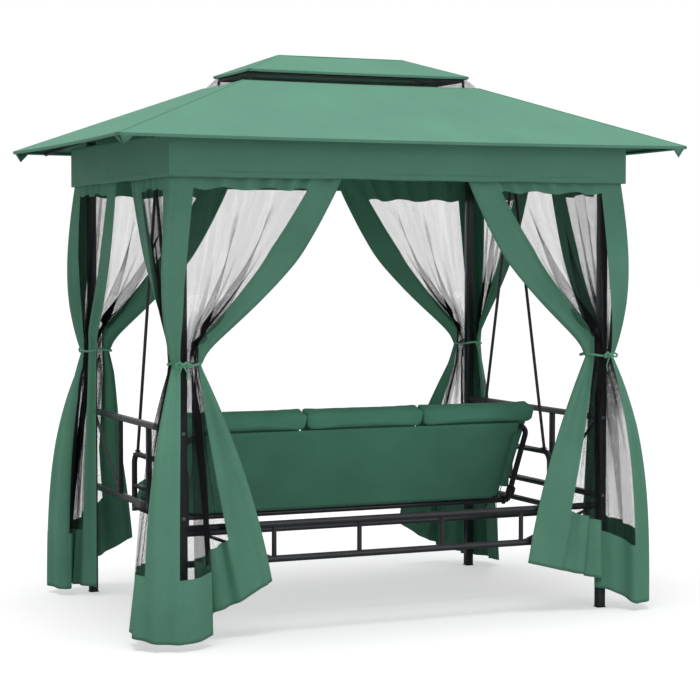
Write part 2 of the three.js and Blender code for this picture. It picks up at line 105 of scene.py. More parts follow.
def base_material(name, colour, roughness, metallic=0.0, **sockets):
    material = bpy.data.materials.new(name)
    material.use_nodes = True
    shader = material.node_tree.nodes["Principled BSDF"]
    shader.inputs["Base Color"].default_value = (*colour, 1)
    shader.inputs["Roughness"].default_value = roughness
    shader.inputs["Metallic"].default_value = metallic
    for key, value in sockets.items():
        shader.inputs[key.replace("_", " ")].default_value = value
    return material, shader


def noise_value(material, coordinates, scale, detail=2.0):
    made = add_node(material, "TexNoise", {"Scale": scale, "Detail": detail})
    join(material, coordinates, made.inputs["Vector"])
    return made.outputs["Fac"]


def varied(material, coordinates, scale, low, high, detail=2.0):
    """A value that wanders between low and high over the surface."""
    value = noise_value(material, coordinates, scale, detail)
    limits = {"From Min": 0.3, "From Max": 0.7, "To Min": low, "To Max": high}
    made = add_node(material, "MapRange", limits)
    join(material, value, made.inputs["Value"])
    return made.outputs["Result"]


def combined(material, kind, first, second):
    made = add_node(material, "Math", operation=kind)
    for socket, value in zip(made.inputs, (first, second)):
        if isinstance(value, float):
            socket.default_value = value
        else:
            join(material, value, socket)
    return made.outputs["Value"]


def shaded(material, shader, colour, brightness):
    """The base colour times a brightness that varies over the surface."""
    scaled = add_node(material, "VectorMath", operation="SCALE")
    scaled.inputs[0].default_value = colour
    join(material, brightness, scaled.inputs["Scale"])
    join(material, scaled.outputs["Vector"], shader.inputs["Base Color"])


def bumped(material, shader, height, distance, strength=1.0):
    bump = add_node(material, "Bump", {"Strength": strength, "Distance": distance})
    join(material, height, bump.inputs["Height"])
    join(material, bump.outputs["Normal"], shader.inputs["Normal"])


def threads(material, coordinates, direction, pitch):
    """Bands across one direction, one for each thread."""
    scale = math.pi / (10 * pitch)
    bands = add_node(material, "TexWave", {"Scale": scale}, bands_direction=direction, wave_profile="SIN")
    join(material, coordinates, bands.inputs["Vector"])
    return bands.outputs["Fac"]


def woven(name, colour, pitch=0.0016, roughness=0.82, mottle=0.09, sheen=0.08):
    """Plain-woven polyester: a thread pattern in the bump and slow and fine changes of tone, and painted
    shade that darkens the hollows between threads.
    """
    material, shader = base_material(
        name, colour, roughness, Sheen_Weight=sheen, Sheen_Roughness=0.45, Specular_IOR_Level=0.2
    )
    place = add_node(material, "TexCoord").outputs["Object"]
    x_threads, y_threads, z_threads = [threads(material, place, axis, pitch) for axis in "XYZ"]
    weave = combined(material, "ADD", combined(material, "ADD", x_threads, y_threads), z_threads)
    slow = varied(material, place, 3.5, 1 - mottle, 1 + mottle, detail=4.0)
    fine = varied(material, place, 260.0, 0.97, 1.03)
    tone = combined(material, "MULTIPLY", slow, fine)
    # Painted shade: each thread direction lifts the colour a little, so the hollows between threads come out
    # darker.
    thread_shading = combined(material, "MULTIPLY", weave, WEAVE_SHADING["thread"])
    thread_shading = combined(material, "ADD", thread_shading, WEAVE_SHADING["hollow"])
    shaded(material, shader, colour, combined(material, "MULTIPLY", tone, thread_shading))
    rough = varied(material, place, 40.0, roughness - 0.06, roughness + 0.06)
    join(material, rough, shader.inputs["Roughness"])
    bumped(material, shader, weave, 0.00035, 0.6)
    return material


def net_material(name, pitch=0.0020, open_cut=0.978, gathered_cut=0.45):
    """Mosquito net: the alpha is the threads of a square mesh, drawn in the sheet's own UV metres.
    Where the net is gathered its layers close the mesh up."""
    material, shader = base_material(name, NET, 0.75, Specular_IOR_Level=0.2)
    flat = add_node(material, "TexCoord").outputs["UV"]
    gather = add_node(material, "Attribute", attribute_name="gather")
    cut = add_node(material, "MapRange", {"From Min": 0.3, "To Min": open_cut, "To Max": gathered_cut})
    join(material, gather.outputs["Fac"], cut.inputs["Value"])
    lines = [
        combined(material, "GREATER_THAN", threads(material, flat, direction, pitch), cut.outputs["Result"])
        for direction in ("X", "Y")
    ]
    join(material, combined(material, "MAXIMUM", *lines), shader.inputs["Alpha"])
    shaded(material, shader, NET, varied(material, flat, 18.0, 0.8, 1.25, detail=3.0))
    return material


def powder_coat(name):
    """Satin anthracite powder coat with a fine orange peel and faint rubbed patches."""
    material, shader = base_material(
        name, STEEL, 0.36, Specular_IOR_Level=0.55, Coat_Weight=0.6, Coat_Roughness=0.18
    )
    place = add_node(material, "TexCoord").outputs["Object"]
    shaded(material, shader, STEEL, varied(material, place, 14.0, 0.85, 1.35, detail=6.0))
    join(material, varied(material, place, 30.0, 0.30, 0.44, detail=4.0), shader.inputs["Roughness"])
    bumped(material, shader, noise_value(material, place, 900.0), 0.0002, 0.5)
    return material


def plain(name, colour, roughness, metallic, peel):
    """A hard finish with a fine-grained surface: moulded plastic or zinc plate."""
    material, shader = base_material(name, colour, roughness, metallic)
    place = add_node(material, "TexCoord").outputs["Object"]
    shaded(material, shader, colour, varied(material, place, 120.0, 0.85, 1.15, detail=4.0))
    rough = varied(material, place, 80.0, roughness - 0.08, roughness + 0.08)
    join(material, rough, shader.inputs["Roughness"])
    bumped(material, shader, noise_value(material, place, peel), 0.0002, 0.4)
    return material


canopy_cloth = woven("canopy_cloth", CANOPY, roughness=0.74, mottle=0.05)
curtain_cloth = woven("curtain_cloth", CURTAIN)
cushion_cloth = woven("cushion_cloth", CUSHION, pitch=0.0022, roughness=0.88, sheen=0.12)
ribbon_cloth = woven("ribbon_cloth", RIBBON, pitch=0.0012)
net_cloth = net_material("net")
steel = powder_coat("coated_steel")
plastic = plain("black_plastic", PLASTIC, 0.55, 0.0, 700.0)
zinc = plain("zinc_steel", ZINC, 0.32, 1.0, 500.0)


# ---- building pieces ----
def new_object(name, data):
    made = bpy.data.objects.new(name, data)
    bpy.context.scene.collection.objects.link(made)
    return made


def grid_faces(columns, rows):
    """The quads of a grid whose points are listed row by row."""
    row = columns + 1
    return [(j * row + i, j * row + i + 1, (j + 1) * row + i + 1, (j + 1) * row + i)
            for j in range(rows) for i in range(columns)]


def piece(name, verts, faces, body, *materials, smooth_angle=None, indices=None, uv=None, gather=None):
    """A mesh object that rides on a body. smooth_angle keeps edges sharper than it, in degrees."""
    mesh = bpy.data.meshes.new(name)
    mesh.from_pydata([tuple(v) for v in verts], [], [tuple(f) for f in faces])
    for material in materials:
        mesh.materials.append(material)
    mesh.polygons.foreach_set("use_smooth", [True] * len(mesh.polygons))
    if indices is not None:
        mesh.polygons.foreach_set("material_index", indices)
    if uv is not None:
        layer = mesh.uv_layers.new(name="metres")
        corners = np.empty(len(mesh.loops), dtype=np.int32)
        mesh.loops.foreach_get("vertex_index", corners)
        layer.data.foreach_set("uv", np.asarray(uv, dtype=np.float32)[corners].ravel())
    if gather is not None:
        mesh.attributes.new("gather", "FLOAT", "POINT").data.foreach_set("value", gather)
    if smooth_angle is not None:
        mesh.set_sharp_from_angle(angle=math.radians(smooth_angle))
    mesh.update()
    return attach(new_object(name, mesh), body)


def thicken(made, thickness, offset=0.0):
    layer = made.modifiers.new("thickness", "SOLIDIFY")
    layer.thickness = thickness
    layer.offset = offset
    return made


def rounded_path(corners, bend):
    """Corner points with each inner corner turned into an arc of the bend radius."""
    points = [Vector(corner) for corner in corners]
    path = [points[0]]
    for before, corner, after in zip(points, points[1:], points[2:]):
        inward = (corner - before).normalized()
        outward = (after - corner).normalized()
        turn = inward.angle(outward)
        side = (outward - inward * math.cos(turn)).normalized()
        start = corner - inward * bend * math.tan(turn / 2)
        for step in range(BEND_STEPS + 1):
            angle = turn * step / BEND_STEPS
            path.append(start + side * bend * (1 - math.cos(angle)) + inward * bend * math.sin(angle))
    return path + [points[-1]]


def circle(radius, sides=TUBE_SIDES):
    return [(radius * math.cos(a), radius * math.sin(a)) for a in np.arange(sides) * 2 * math.pi / sides]


def rounded_rectangle(width, height, corner, steps=3):
    outline = []
    for turn, (sx, sy) in enumerate(((1, 1), (-1, 1), (-1, -1), (1, -1))):
        for step in range(steps + 1):
            angle = math.pi / 2 * (turn + step / steps)
            outline.append((sx * (width / 2 - corner) + corner * math.cos(angle),
                            sy * (height / 2 - corner) + corner * math.sin(angle)))
    return outline


def side_vector(direction):
    up = Vector((0, 0, 1)) if abs(direction.z) < 0.9 else Vector((1, 0, 0))
    return direction.cross(up).normalized()


class Shapes:
    """Closed shapes gathered into one piece."""

    def __init__(self):
        self.verts = []
        self.faces = []

    def add(self, verts, faces):
        first = len(self.verts)
        self.verts += [Vector(v) for v in verts]
        self.faces += [[first + i for i in face] for face in faces]

    def rings(self, rings, closed=False):
        count = len(rings[0])
        total = len(rings)
        faces = []
        for k in range(total if closed else total - 1):
            for i in range(count):
                j = (i + 1) % count
                m = (k + 1) % total
                faces.append((k * count + i, k * count + j, m * count + j, m * count + i))
        if not closed:
            faces.append(tuple(reversed(range(count))))
            faces.append(tuple(range((total - 1) * count, total * count)))
        self.add([v for ring in rings for v in ring], faces)

    def sweep(self, path, outline, edge=0.0012, scales=None):
        """An outline carried along a path, with its two end edges eased."""
        points = [Vector(p) for p in path]
        tangents = []
        for i in range(len(points)):
            ahead = points[min(i + 1, len(points) - 1)] - points[max(i - 1, 0)]
            tangents.append(ahead.normalized())
        side = side_vector(tangents[0])
        rings = []
        for i, (point, tangent) in enumerate(zip(points, tangents)):
            side = (side - tangent * side.dot(tangent)).normalized()
            up = side.cross(tangent)
            scale = scales[i] if scales else 1.0
            rings.append([point + side * a * scale + up * b * scale for a, b in outline])
        reach = max(max(abs(a), abs(b)) for a, b in outline)
        shrink = 1 - edge / reach
        first = [points[0] + (v - points[0]) * shrink for v in rings[0]]
        last = [points[-1] + (v - points[-1]) * shrink for v in rings[-1]]
        rings[0] = [v + tangents[0] * edge for v in rings[0]]
        rings[-1] = [v - tangents[-1] * edge for v in rings[-1]]
        self.rings([first] + rings + [last])

    def tube(self, corners, radius, bend=0.0):
        path = rounded_path(corners, bend) if len(corners) > 2 else corners
        self.sweep(path, circle(radius))

    def square(self, start, end, width, height=None):
        self.sweep([start, end], rounded_rectangle(width, height or width, 0.0035))

    def torus(self, centre, axis, major, minor, sides=24, ripple=0.0):
        axis = Vector(axis).normalized()
        side = side_vector(axis)
        up = axis.cross(side)
        rings = []
        for i in range(sides):
            angle = 2 * math.pi * i / sides
            out = side * math.cos(angle) + up * math.sin(angle)
            size = minor * (1 + ripple * math.sin(9 * angle))
            middle = Vector(centre) + out * major
            rings.append([middle + out * a + axis * b for a, b in circle(size, 8)])
        self.rings(rings, closed=True)

    def weld(self, centre, axis, radius, bead=0.0018, ripple=0.25):
        """A rippled bead of weld round a tube's end."""
        self.torus(centre, axis, radius, bead, ripple=ripple)

    def bolt(self, centre, axis, size=0.006):
        """A washer, a hexagon head and a low dome on it."""
        axis = Vector(axis).normalized()
        at = Vector(centre)
        self.sweep([at, at + axis * 0.0016], circle(size * 1.35, 24), edge=0.0004)
        self.sweep([at + axis * 0.0012, at + axis * 0.0055], circle(size, 6), edge=0.0006)
        self.sweep([at + axis * 0.005, at + axis * 0.0068], circle(size * 0.62, 16), edge=0.0008)

    def build(self, name, body, material, slot, *nodes):
        made = piece(name, self.verts, self.faces, body, material, smooth_angle=38)
        bm = bmesh.new()
        bm.from_mesh(made.data)
        bmesh.ops.recalc_face_normals(bm, faces=bm.faces)
        bm.to_mesh(made.data)
        bm.free()
        if nodes:
            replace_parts(made, *nodes)
        return made


def softened(node, width, material):
    """A copy of a CAD node with its edges rounded, which stands for it."""
    source = frame["nodes"][node]
    bm = bmesh.new()
    bm.from_mesh(source.data)
    bmesh.ops.remove_doubles(bm, verts=bm.verts, dist=1e-5)
    bmesh.ops.dissolve_limit(bm, angle_limit=math.radians(2), verts=bm.verts, edges=bm.edges)
    sharp = [edge for edge in bm.edges if len(edge.link_faces) == 2 and edge.calc_face_angle() > SHARP]
    bmesh.ops.bevel(bm, geom=sharp, offset=width, segments=2, profile=0.6, affect="EDGES", clamp_overlap=True)
    mesh = bpy.data.meshes.new(node + "_finished")
    bm.to_mesh(mesh)
    bm.free()
    mesh.polygons.foreach_set("use_smooth", [True] * len(mesh.polygons))
    mesh.set_sharp_from_angle(angle=SHARP)
    mesh.materials.append(material)
    made = new_object(node + "_finished", mesh)
    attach(made, source["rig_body"])
    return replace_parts(made, node)


# ---- gazebo frame ----
POST_WIDTH = 0.036
RAFTER_RADIUS = 0.009
VENT_ROD = {"radius": 0.006, "eave": 2.298, "ridge": 0.285, "bend": 0.012}
PANEL = {"rail": 0.025, "upright": 0.022, "upright_y": 0.200, "tuck": 0.010, "brace": 0.0065}
PANEL_BRACE = {"high": (0.588, 0.822), "low": (0.205, 0.500)}
LADDER = {"rail": 0.014, "spacers": (0.189, 0.567), "spacer": 0.010, "brace": 0.0065}
LADDER_BRACE = {"high": (0.920, 0.440), "low": (0.580, 0.312)}
BOLT_HEIGHTS = {"panel": (0.489, 0.828), "ladder": (0.305, 0.447), "beam": 1.965}
BRACKET_BOLT = {"inset": 0.008, "drop": 0.0045, "size": 0.0045}


def middle_line(node):
    """The two ends of a straight bar's centre line, and its width, from its box."""
    low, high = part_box(node)
    size = high - low
    long_axis = max(range(3), key=lambda axis: size[axis])
    start = (low + high) / 2
    end = start.copy()
    start[long_axis] = low[long_axis]
    end[long_axis] = high[long_axis]
    return start, end, min(size)


def straight_bars():
    names = ["post_" + corner for corner in CORNERS]
    names += ["top_beam_" + side for side in ("rear", "front", "left", "right")]
    names += ["hanger_beam_" + end for end in ENDS]
    for name in names:
        start, end, width = middle_line(name)
        shapes = Shapes()
        shapes.square(start, end, width)
        shapes.build(name + "_tube", "gazebo", steel, "coated_steel", name)


def rafters():
    for corner, (sx, sy) in CORNERS.items():
        node = "hip_rafter_" + corner
        low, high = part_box(node)
        near = Vector((min(abs(low.x), abs(high.x)), min(abs(low.y), abs(high.y)), high.z))
        far = Vector((max(abs(low.x), abs(high.x)), max(abs(low.y), abs(high.y)), low.z))
        run = (far - near).normalized()
        inset = Vector([RAFTER_RADIUS * math.sqrt(1 - part * part) for part in run])
        near += Vector((inset.x, inset.y, -inset.z))
        far -= Vector((inset.x, inset.y, -inset.z))
        turned = [Vector((sx * p.x, sy * p.y, p.z)) for p in (near, far)]
        shapes = Shapes()
        shapes.tube(turned, RAFTER_RADIUS)
        shapes.build(node + "_tube", "gazebo", steel, "coated_steel", node)


def crown():
    low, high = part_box("crown_frame")
    width = high.z - low.z
    z = (low.z + high.z) / 2
    x = high.x - width / 2
    y = high.y - width / 2
    shapes = Shapes()
    for s in (1, -1):
        shapes.square((-high.x, s * y, z), (high.x, s * y, z), width)
        shapes.square((s * x, -y + width / 2, z), (s * x, y - width / 2, z), width)
    shapes.build("crown_frame_tubes", "gazebo", steel, "coated_steel", "crown_frame")


def vent_rods():
    low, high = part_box("vent_frame")
    radius = VENT_ROD["radius"]
    eave = VENT_ROD["eave"]
    x = high.x - radius
    y = high.y - radius
    ridge = high.z - radius
    shapes = Shapes()
    for sx, sy in CORNERS.values():
        corners = [(sx * x, sy * y, low.z), (sx * x, sy * y, eave), (sx * VENT_ROD["ridge"], 0, ridge)]
        shapes.tube(corners, radius, VENT_ROD["bend"])
    shapes.tube([(-VENT_ROD["ridge"], 0, ridge), (VENT_ROD["ridge"], 0, ridge)], radius)
    for s in (1, -1):
        shapes.tube([(-x, s * y, eave), (x, s * y, eave)], radius)
        shapes.tube([(s * x, -y, eave), (s * x, y, eave)], radius)
    shapes.build("vent_frame_rods", "gazebo", steel, "coated_steel", "vent_frame")


def end_panels():
    half = PANEL["rail"] / 2
    for end in ENDS:
        node = "end_panel_" + end
        low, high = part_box(node)
        x = (low.x + high.x) / 2
        top = high.z - half
        bottom = low.z + half
        shapes = Shapes()
        for z in (top, bottom):
            shapes.square((x, low.y, z), (x, high.y, z), PANEL["rail"])
        for s in (1, -1):
            y = s * PANEL["upright_y"]
            upright = [(x, y, bottom + PANEL["tuck"]), (x, y, top - PANEL["tuck"])]
            shapes.square(*upright, PANEL["upright"])
            brace = [(x, s * PANEL_BRACE[key][0], PANEL_BRACE[key][1]) for key in ("high", "low")]
            shapes.tube(brace, PANEL["brace"])
            for z in (top - half, bottom + half):
                shapes.weld((x, y, z), (0, 0, 1), half, bead=0.0016)
        shapes.build(node + "_tubes", "gazebo", steel, "coated_steel", node)


def rear_ladder():
    low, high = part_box("rear_ladder")
    y = (low.y + high.y) / 2
    top = high.z - LADDER["rail"]
    bottom = low.z + LADDER["rail"]
    shapes = Shapes()
    for z in (top, bottom):
        shapes.tube([(low.x, y, z), (high.x, y, z)], LADDER["rail"])
    for s in (1, -1):
        for x in LADDER["spacers"]:
            shapes.tube([(s * x, y, bottom), (s * x, y, top)], LADDER["spacer"])
            for z, lift in ((top, -1), (bottom, 1)):
                at = (s * x, y, z + lift * (LADDER["rail"] - WELD_SUNK))
                shapes.weld(at, (0, 0, 1), LADDER["spacer"])
        brace = [(s * LADDER_BRACE[key][0], y, LADDER_BRACE[key][1]) for key in ("high", "low")]
        shapes.tube(brace, LADDER["brace"])
    shapes.build("rear_ladder_tubes", "gazebo", steel, "coated_steel", "rear_ladder")


def gazebo_bolts():
    """Bolts through the posts at every rail and beam, and in the hanger brackets."""
    shapes = Shapes()
    _, top, _ = middle_line("post_rear_left")
    half = POST_WIDTH / 2
    beam = BOLT_HEIGHTS["beam"]
    for sx, sy in CORNERS.values():
        x = sx * abs(top.x)
        y = sy * abs(top.y)
        for z in (*BOLT_HEIGHTS["panel"], beam):
            shapes.bolt((x, y + sy * half, z), (0, sy, 0))
        for z in BOLT_HEIGHTS["ladder"] if sy > 0 else (beam,):
            shapes.bolt((x + sx * half, y, z), (sx, 0, 0))
    for end in ENDS:
        low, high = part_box("hanger_bracket_" + end)
        for y in (low.y + BRACKET_BOLT["inset"], high.y - BRACKET_BOLT["inset"]):
            at = ((low.x + high.x) / 2, y, high.z - BRACKET_BOLT["drop"])
            shapes.bolt(at, (0, 0, -1), BRACKET_BOLT["size"])
    shapes.build("gazebo_bolts", "gazebo", zinc, "zinc_steel")


# ---- swing frame ----
ARM = {"radius": 0.0125, "bend": 0.048, "low": 0.420, "mid": 0.514, "mid_radius": 0.010}
SEAT = {"z": 0.415, "front": -0.490, "middle": -0.300, "side": 0.790, "radius": 0.0125, "bend": 0.040}
SLAT = {"radius": 0.008, "pitch": 0.200, "per_side": 3}
PIVOT_Z = 1.891
ROD = {"radius": 0.007, "eye": 0.013, "hole": 0.0056, "eye_width": 0.008, "eye_x": 0.859, "spread": 0.005,
       "foot": (0.034, 0.022, 0.004), "neck": ((0.0, 0.5), (0.02, 0.62), (0.045, 1.0))}
SWING_BOLT = {"size": 0.005, "inset": 0.05}


def end_frames():
    for end in ENDS:
        node = "end_frame_" + end
        low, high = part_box(node)
        radius = ARM["radius"]
        x = (low.x + high.x) / 2
        front = low.y + radius
        rear = high.y - radius
        top = high.z - radius
        shapes = Shapes()
        hoop = [(x, front, low.z), (x, front, top), (x, rear, top), (x, rear, low.z)]
        shapes.tube(hoop, radius, ARM["bend"])
        for z, bar in ((ARM["low"], radius), (ARM["mid"], ARM["mid_radius"])):
            shapes.tube([(x, front, z), (x, rear, z)], bar)
            for y, way in ((front, 1), (rear, -1)):
                shapes.weld((x, y + way * (radius - WELD_SUNK), z), (0, 1, 0), bar)
        shapes.build(node + "_tubes", "swing", steel, "coated_steel", node)


def rod_eye(shapes, eye):
    """The flat ring at a rod's top, round the pivot pin."""
    outline = rounded_rectangle(ROD["eye"] - ROD["hole"], ROD["eye_width"], 0.0012)
    middle = (ROD["eye"] + ROD["hole"]) / 2
    ring = []
    for i in range(24):
        angle = 2 * math.pi * i / 24
        out = Vector((0, math.cos(angle), math.sin(angle)))
        ring.append([eye + out * (middle + a) + Vector((b, 0, 0)) for a, b in outline])
    shapes.rings(ring, closed=True)


def hanging_rods():
    """Each rod is forged thin at its eye and stands on the arm frame with a small foot plate."""
    length, width, plate = ROD["foot"]
    for end, sx in ENDS.items():
        frame_low, frame_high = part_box("end_frame_" + end)
        foot_x = (frame_low.x + frame_high.x) / 2
        for which, way in (("front", -1), ("rear", 1)):
            node = f"hanging_rod_{end}_{which}"
            low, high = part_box(node)
            foot_y = low.y + length / 2 if which == "front" else high.y - length / 2
            eye = Vector((sx * (ROD["eye_x"] + way * ROD["spread"]), 0, PIVOT_Z))
            under = Vector((foot_x, foot_y, low.z))
            foot = under + Vector((0, 0, plate))
            run = (foot - eye).normalized()
            shapes = Shapes()
            rod_eye(shapes, eye)
            start = eye + run * ROD["eye"] * 0.9
            path = [start + run * along for along, _ in ROD["neck"]] + [foot]
            shapes.sweep(path, circle(ROD["radius"]), scales=[scale for _, scale in ROD["neck"]] + [1.0])
            shapes.sweep([under, foot], rounded_rectangle(length, width, 0.004))
            shapes.weld(foot, run, ROD["radius"], bead=0.0016, ripple=0.3)
            shapes.build(node + "_bar", "swing", steel, "coated_steel", node)


def seat_bars():
    low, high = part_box("seat_frame")
    z = SEAT["z"]
    radius = SEAT["radius"]
    rear = high.y - radius
    shapes = Shapes()
    for y in (SEAT["middle"], rear):
        shapes.tube([(low.x, y, z), (high.x, y, z)], radius)
    side = SEAT["side"]
    hoop = [(-side, rear, z), (-side, SEAT["front"], z), (side, SEAT["front"], z), (side, rear, z)]
    shapes.tube(hoop, radius, SEAT["bend"])
    for i in range(-SLAT["per_side"], SLAT["per_side"] + 1):
        shapes.tube([(i * SLAT["pitch"], SEAT["front"], z), (i * SLAT["pitch"], rear, z)], SLAT["radius"])
    shapes.build("seat_frame_tubes", "swing", steel, "coated_steel", "seat_frame")
    low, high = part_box("rear_bar")
    shapes = Shapes()
    middle = (low + high) / 2
    shapes.tube([(low.x, middle.y, middle.z), (high.x, middle.y, middle.z)], (high.z - low.z) / 2)
    shapes.build("rear_bar_tube", "swing", steel, "coated_steel", "rear_bar")


def swing_bolts():
    shapes = Shapes()
    for end, s in ENDS.items():
        low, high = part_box("end_frame_" + end)
        x = s * (high.x - low.x) / 2 + (low.x + high.x) / 2
        top = high.z - ARM["radius"]
        places = [(low.y + SWING_BOLT["inset"], top), (high.y - SWING_BOLT["inset"], top),
                  (SEAT["middle"], ARM["low"]), (0.0, ARM["low"])]
        for y, z in places:
            shapes.bolt((x, y, z), (s, 0, 0), SWING_BOLT["size"])
    shapes.build("swing_bolts", "swing", zinc, "zinc_steel")


# ---- backrest ----
HINGE = Vector((0, 0.046, 0.410))
LEAN = math.radians(27.6)
BACK = {"half": 0.814, "height": 0.402, "radius": 0.0125, "foot_radius": 0.0122, "bend": 0.050}
HINGE_PLATE = {"behind": 0.004, "low": 0.030, "high": 0.075, "width": 0.030, "depth": 0.034}
COVER = {"half": 0.757, "low": 0.026, "high": 0.430, "behind": 0.015, "hollow": 0.004, "flat": 0.702,
         "bevel": 0.020, "bar": 0.372, "binding": 0.004}


def leaned(x, behind, up):
    """A point given by its distance behind the backrest's plane and up it, leaned back on the hinge."""
    y = behind * math.cos(LEAN) + up * math.sin(LEAN)
    z = up * math.cos(LEAN) - behind * math.sin(LEAN)
    return HINGE + Vector((x, y, z))


def backrest_tubes():
    half = BACK["half"]
    top = BACK["height"]
    shapes = Shapes()
    hoop = [leaned(x, 0, up) for x, up in ((-half, 0), (-half, top), (half, top), (half, 0))]
    shapes.tube(hoop, BACK["radius"], BACK["bend"])
    shapes.tube([hoop[0], hoop[-1]], BACK["foot_radius"])
    for s in (1, -1):
        plate = [leaned(s * half, HINGE_PLATE["behind"], HINGE_PLATE[key]) for key in ("low", "high")]
        shapes.sweep(plate, rounded_rectangle(HINGE_PLATE["width"], HINGE_PLATE["depth"], 0.004))
    shapes.build("backrest_frame_tubes", "backrest", steel, "coated_steel", "backrest_frame")


def cover_depth(x, up, a, b):
    """How far the back cover lies behind the tubes, drawn in between its edges and beside the bars."""
    hollow = COVER["hollow"] * (16 * a * (1 - a) * b * (1 - b)) ** 0.6
    ripple = 0.0012 * noise.noise(Vector((x * 7, up * 9, 3.1)))
    inboard = min(1, max(0, (abs(x) - COVER["flat"]) / (COVER["half"] - COVER["flat"])))
    below_bar = min(1, max(0, (COVER["bar"] - up) / 0.02))
    return COVER["behind"] - (hollow + COVER["bevel"] * inboard * below_bar) + ripple


def backrest_cover():
    """The flat cloth on the backrest's back, with a binding round three of its edges."""
    columns, rows = 60, 24
    verts = []
    uv = []
    for j in range(rows + 1):
        for i in range(columns + 1):
            x = COVER["half"] * (2 * (i / columns) - 1)
            up = COVER["low"] + (COVER["high"] - COVER["low"]) * (j / rows)
            verts.append(leaned(x, cover_depth(x, up, i / columns, j / rows), up))
            uv.append((x, up))
    cloth = piece("backrest_cover_cloth", verts, grid_faces(columns, rows), "backrest", cushion_cloth, uv=uv)
    cover = thicken(cloth, 0.003)
    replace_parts(cover, "backrest_cover")
    binding = Shapes()
    half = COVER["half"] - COVER["binding"]
    top = COVER["high"] - COVER["binding"]
    route = ((-half, COVER["low"]), (-half, top), (half, top), (half, COVER["low"]))
    edge = [leaned(x, COVER["behind"], up) for x, up in route]
    binding.sweep(rounded_path(edge, 0.012), rounded_rectangle(0.0045, 0.0035, 0.0012))
    trim = binding.build("backrest_cover_binding", "backrest", cushion_cloth, "cushion_cloth")


# ---- roof cloths ----
EAVE = {"x": 1.273, "y": 0.796, "z": 1.999}
OPENING = {"x": 0.555, "y": 0.246, "z": 2.265}
VENT_EAVE = {"x": 0.520, "y": 0.213, "z": 2.316}
VENT_RIDGE = {"x": 0.298, "y": 0.0, "z": 2.400}
POCKET = {"below": 0.003, "drop": 0.045, "lip": 0.002, "tip": (0.030, 0.018), "along": (0.010, 0.075),
          "inner": (0.010, 0.062)}
VALANCE = {"x": 1.031, "y": 0.695, "low": 1.838, "high": 2.011, "stitch": 1.860, "stitch_out": 0.0008}
VENT_NET = {"low": (0.549, 0.240, 2.262), "high": (0.509, 0.202, 2.309)}
AROUND = [(1, 1), (-1, 1), (-1, -1), (1, -1)]


def roof_panel(corners, columns, rows, sag):
    """A grid over four corners (bottom left, bottom right, top right, top left), sagging in between."""
    low_left, low_right, high_right, high_left = [Vector(c) for c in corners]
    verts = []
    for j in range(rows + 1):
        b = j / rows
        for i in range(columns + 1):
            a = i / columns
            point = low_left.lerp(low_right, a).lerp(high_left.lerp(high_right, a), b)
            across = 4 * a * (1 - a)
            along = 4 * b * (1 - b)
            point.z -= sag * across * (0.35 + 0.65 * along) * (1 - 0.55 * b)
            crease = noise.noise(Vector((point.x * 3.1, point.y * 3.1, 7.0)))
            point.z += 0.0022 * crease * min(1, across * 3) * min(1, along * 3)
            verts.append(point)
    return verts, grid_faces(columns, rows)


def roof(name, panels, node, sag, hem):
    """Panels joined along their hips into one sheet, with the eave's hem turned down and under."""
    verts = []
    faces = []
    for corners, columns, rows in panels:
        panel, cells = roof_panel(corners, columns, rows, sag)
        first = len(verts)
        verts += panel
        faces += [tuple(first + i for i in cell) for cell in cells]
        inner = Vector((panel[columns // 2].x, panel[columns // 2].y, 0)).normalized()
        turned = [v - Vector((0, 0, hem)) for v in panel[: columns + 1]]
        under = [v - inner * 0.018 + Vector((0, 0, 0.004)) for v in turned]
        start = len(verts)
        verts += turned + under
        for i in range(columns):
            faces.append((first + i + 1, first + i, start + i, start + i + 1))
            k = start + columns + 1
            faces.append((start + i + 1, start + i, k + i, k + i + 1))
    made = piece(name, verts, faces, "gazebo", canopy_cloth, smooth_angle=60)
    bm = bmesh.new()
    bm.from_mesh(made.data)
    bmesh.ops.remove_doubles(bm, verts=bm.verts, dist=0.0008)
    bmesh.ops.recalc_face_normals(bm, faces=bm.faces)
    bm.to_mesh(made.data)
    bm.free()
    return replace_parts(thicken(made, 0.0012, -1.0), node)


def four_panels(eave, upper, columns, rows):
    """The four trapezoids between an eave rectangle and an upper rectangle or ridge."""
    bottom = [(sx * eave["x"], sy * eave["y"], eave["z"]) for sx, sy in AROUND]
    top = [(sx * upper["x"], sy * upper["y"], upper["z"]) for sx, sy in AROUND]
    panels = []
    for k in range(4):
        n = (k + 1) % 4
        panels.append(((bottom[n], bottom[k], top[k], top[n]), columns[k % 2], rows))
    return panels


def hip_lines(eave, upper):
    return [((sx * eave["x"], sy * eave["y"], eave["z"]), (sx * upper["x"], sy * upper["y"], upper["z"]))
            for sx, sy in CORNERS.values()]


def seam_strips(name, lines):
    """Flat-felled seams: narrow raised strips along the hips."""
    shapes = Shapes()
    for start, end in lines:
        path = [Vector(start).lerp(Vector(end), t / 12) - Vector((0, 0, 0.0015)) for t in range(13)]
        shapes.sweep(path, rounded_rectangle(0.013, 0.0035, 0.0014))
    return shapes.build(name, "gazebo", canopy_cloth, "canopy_cloth")


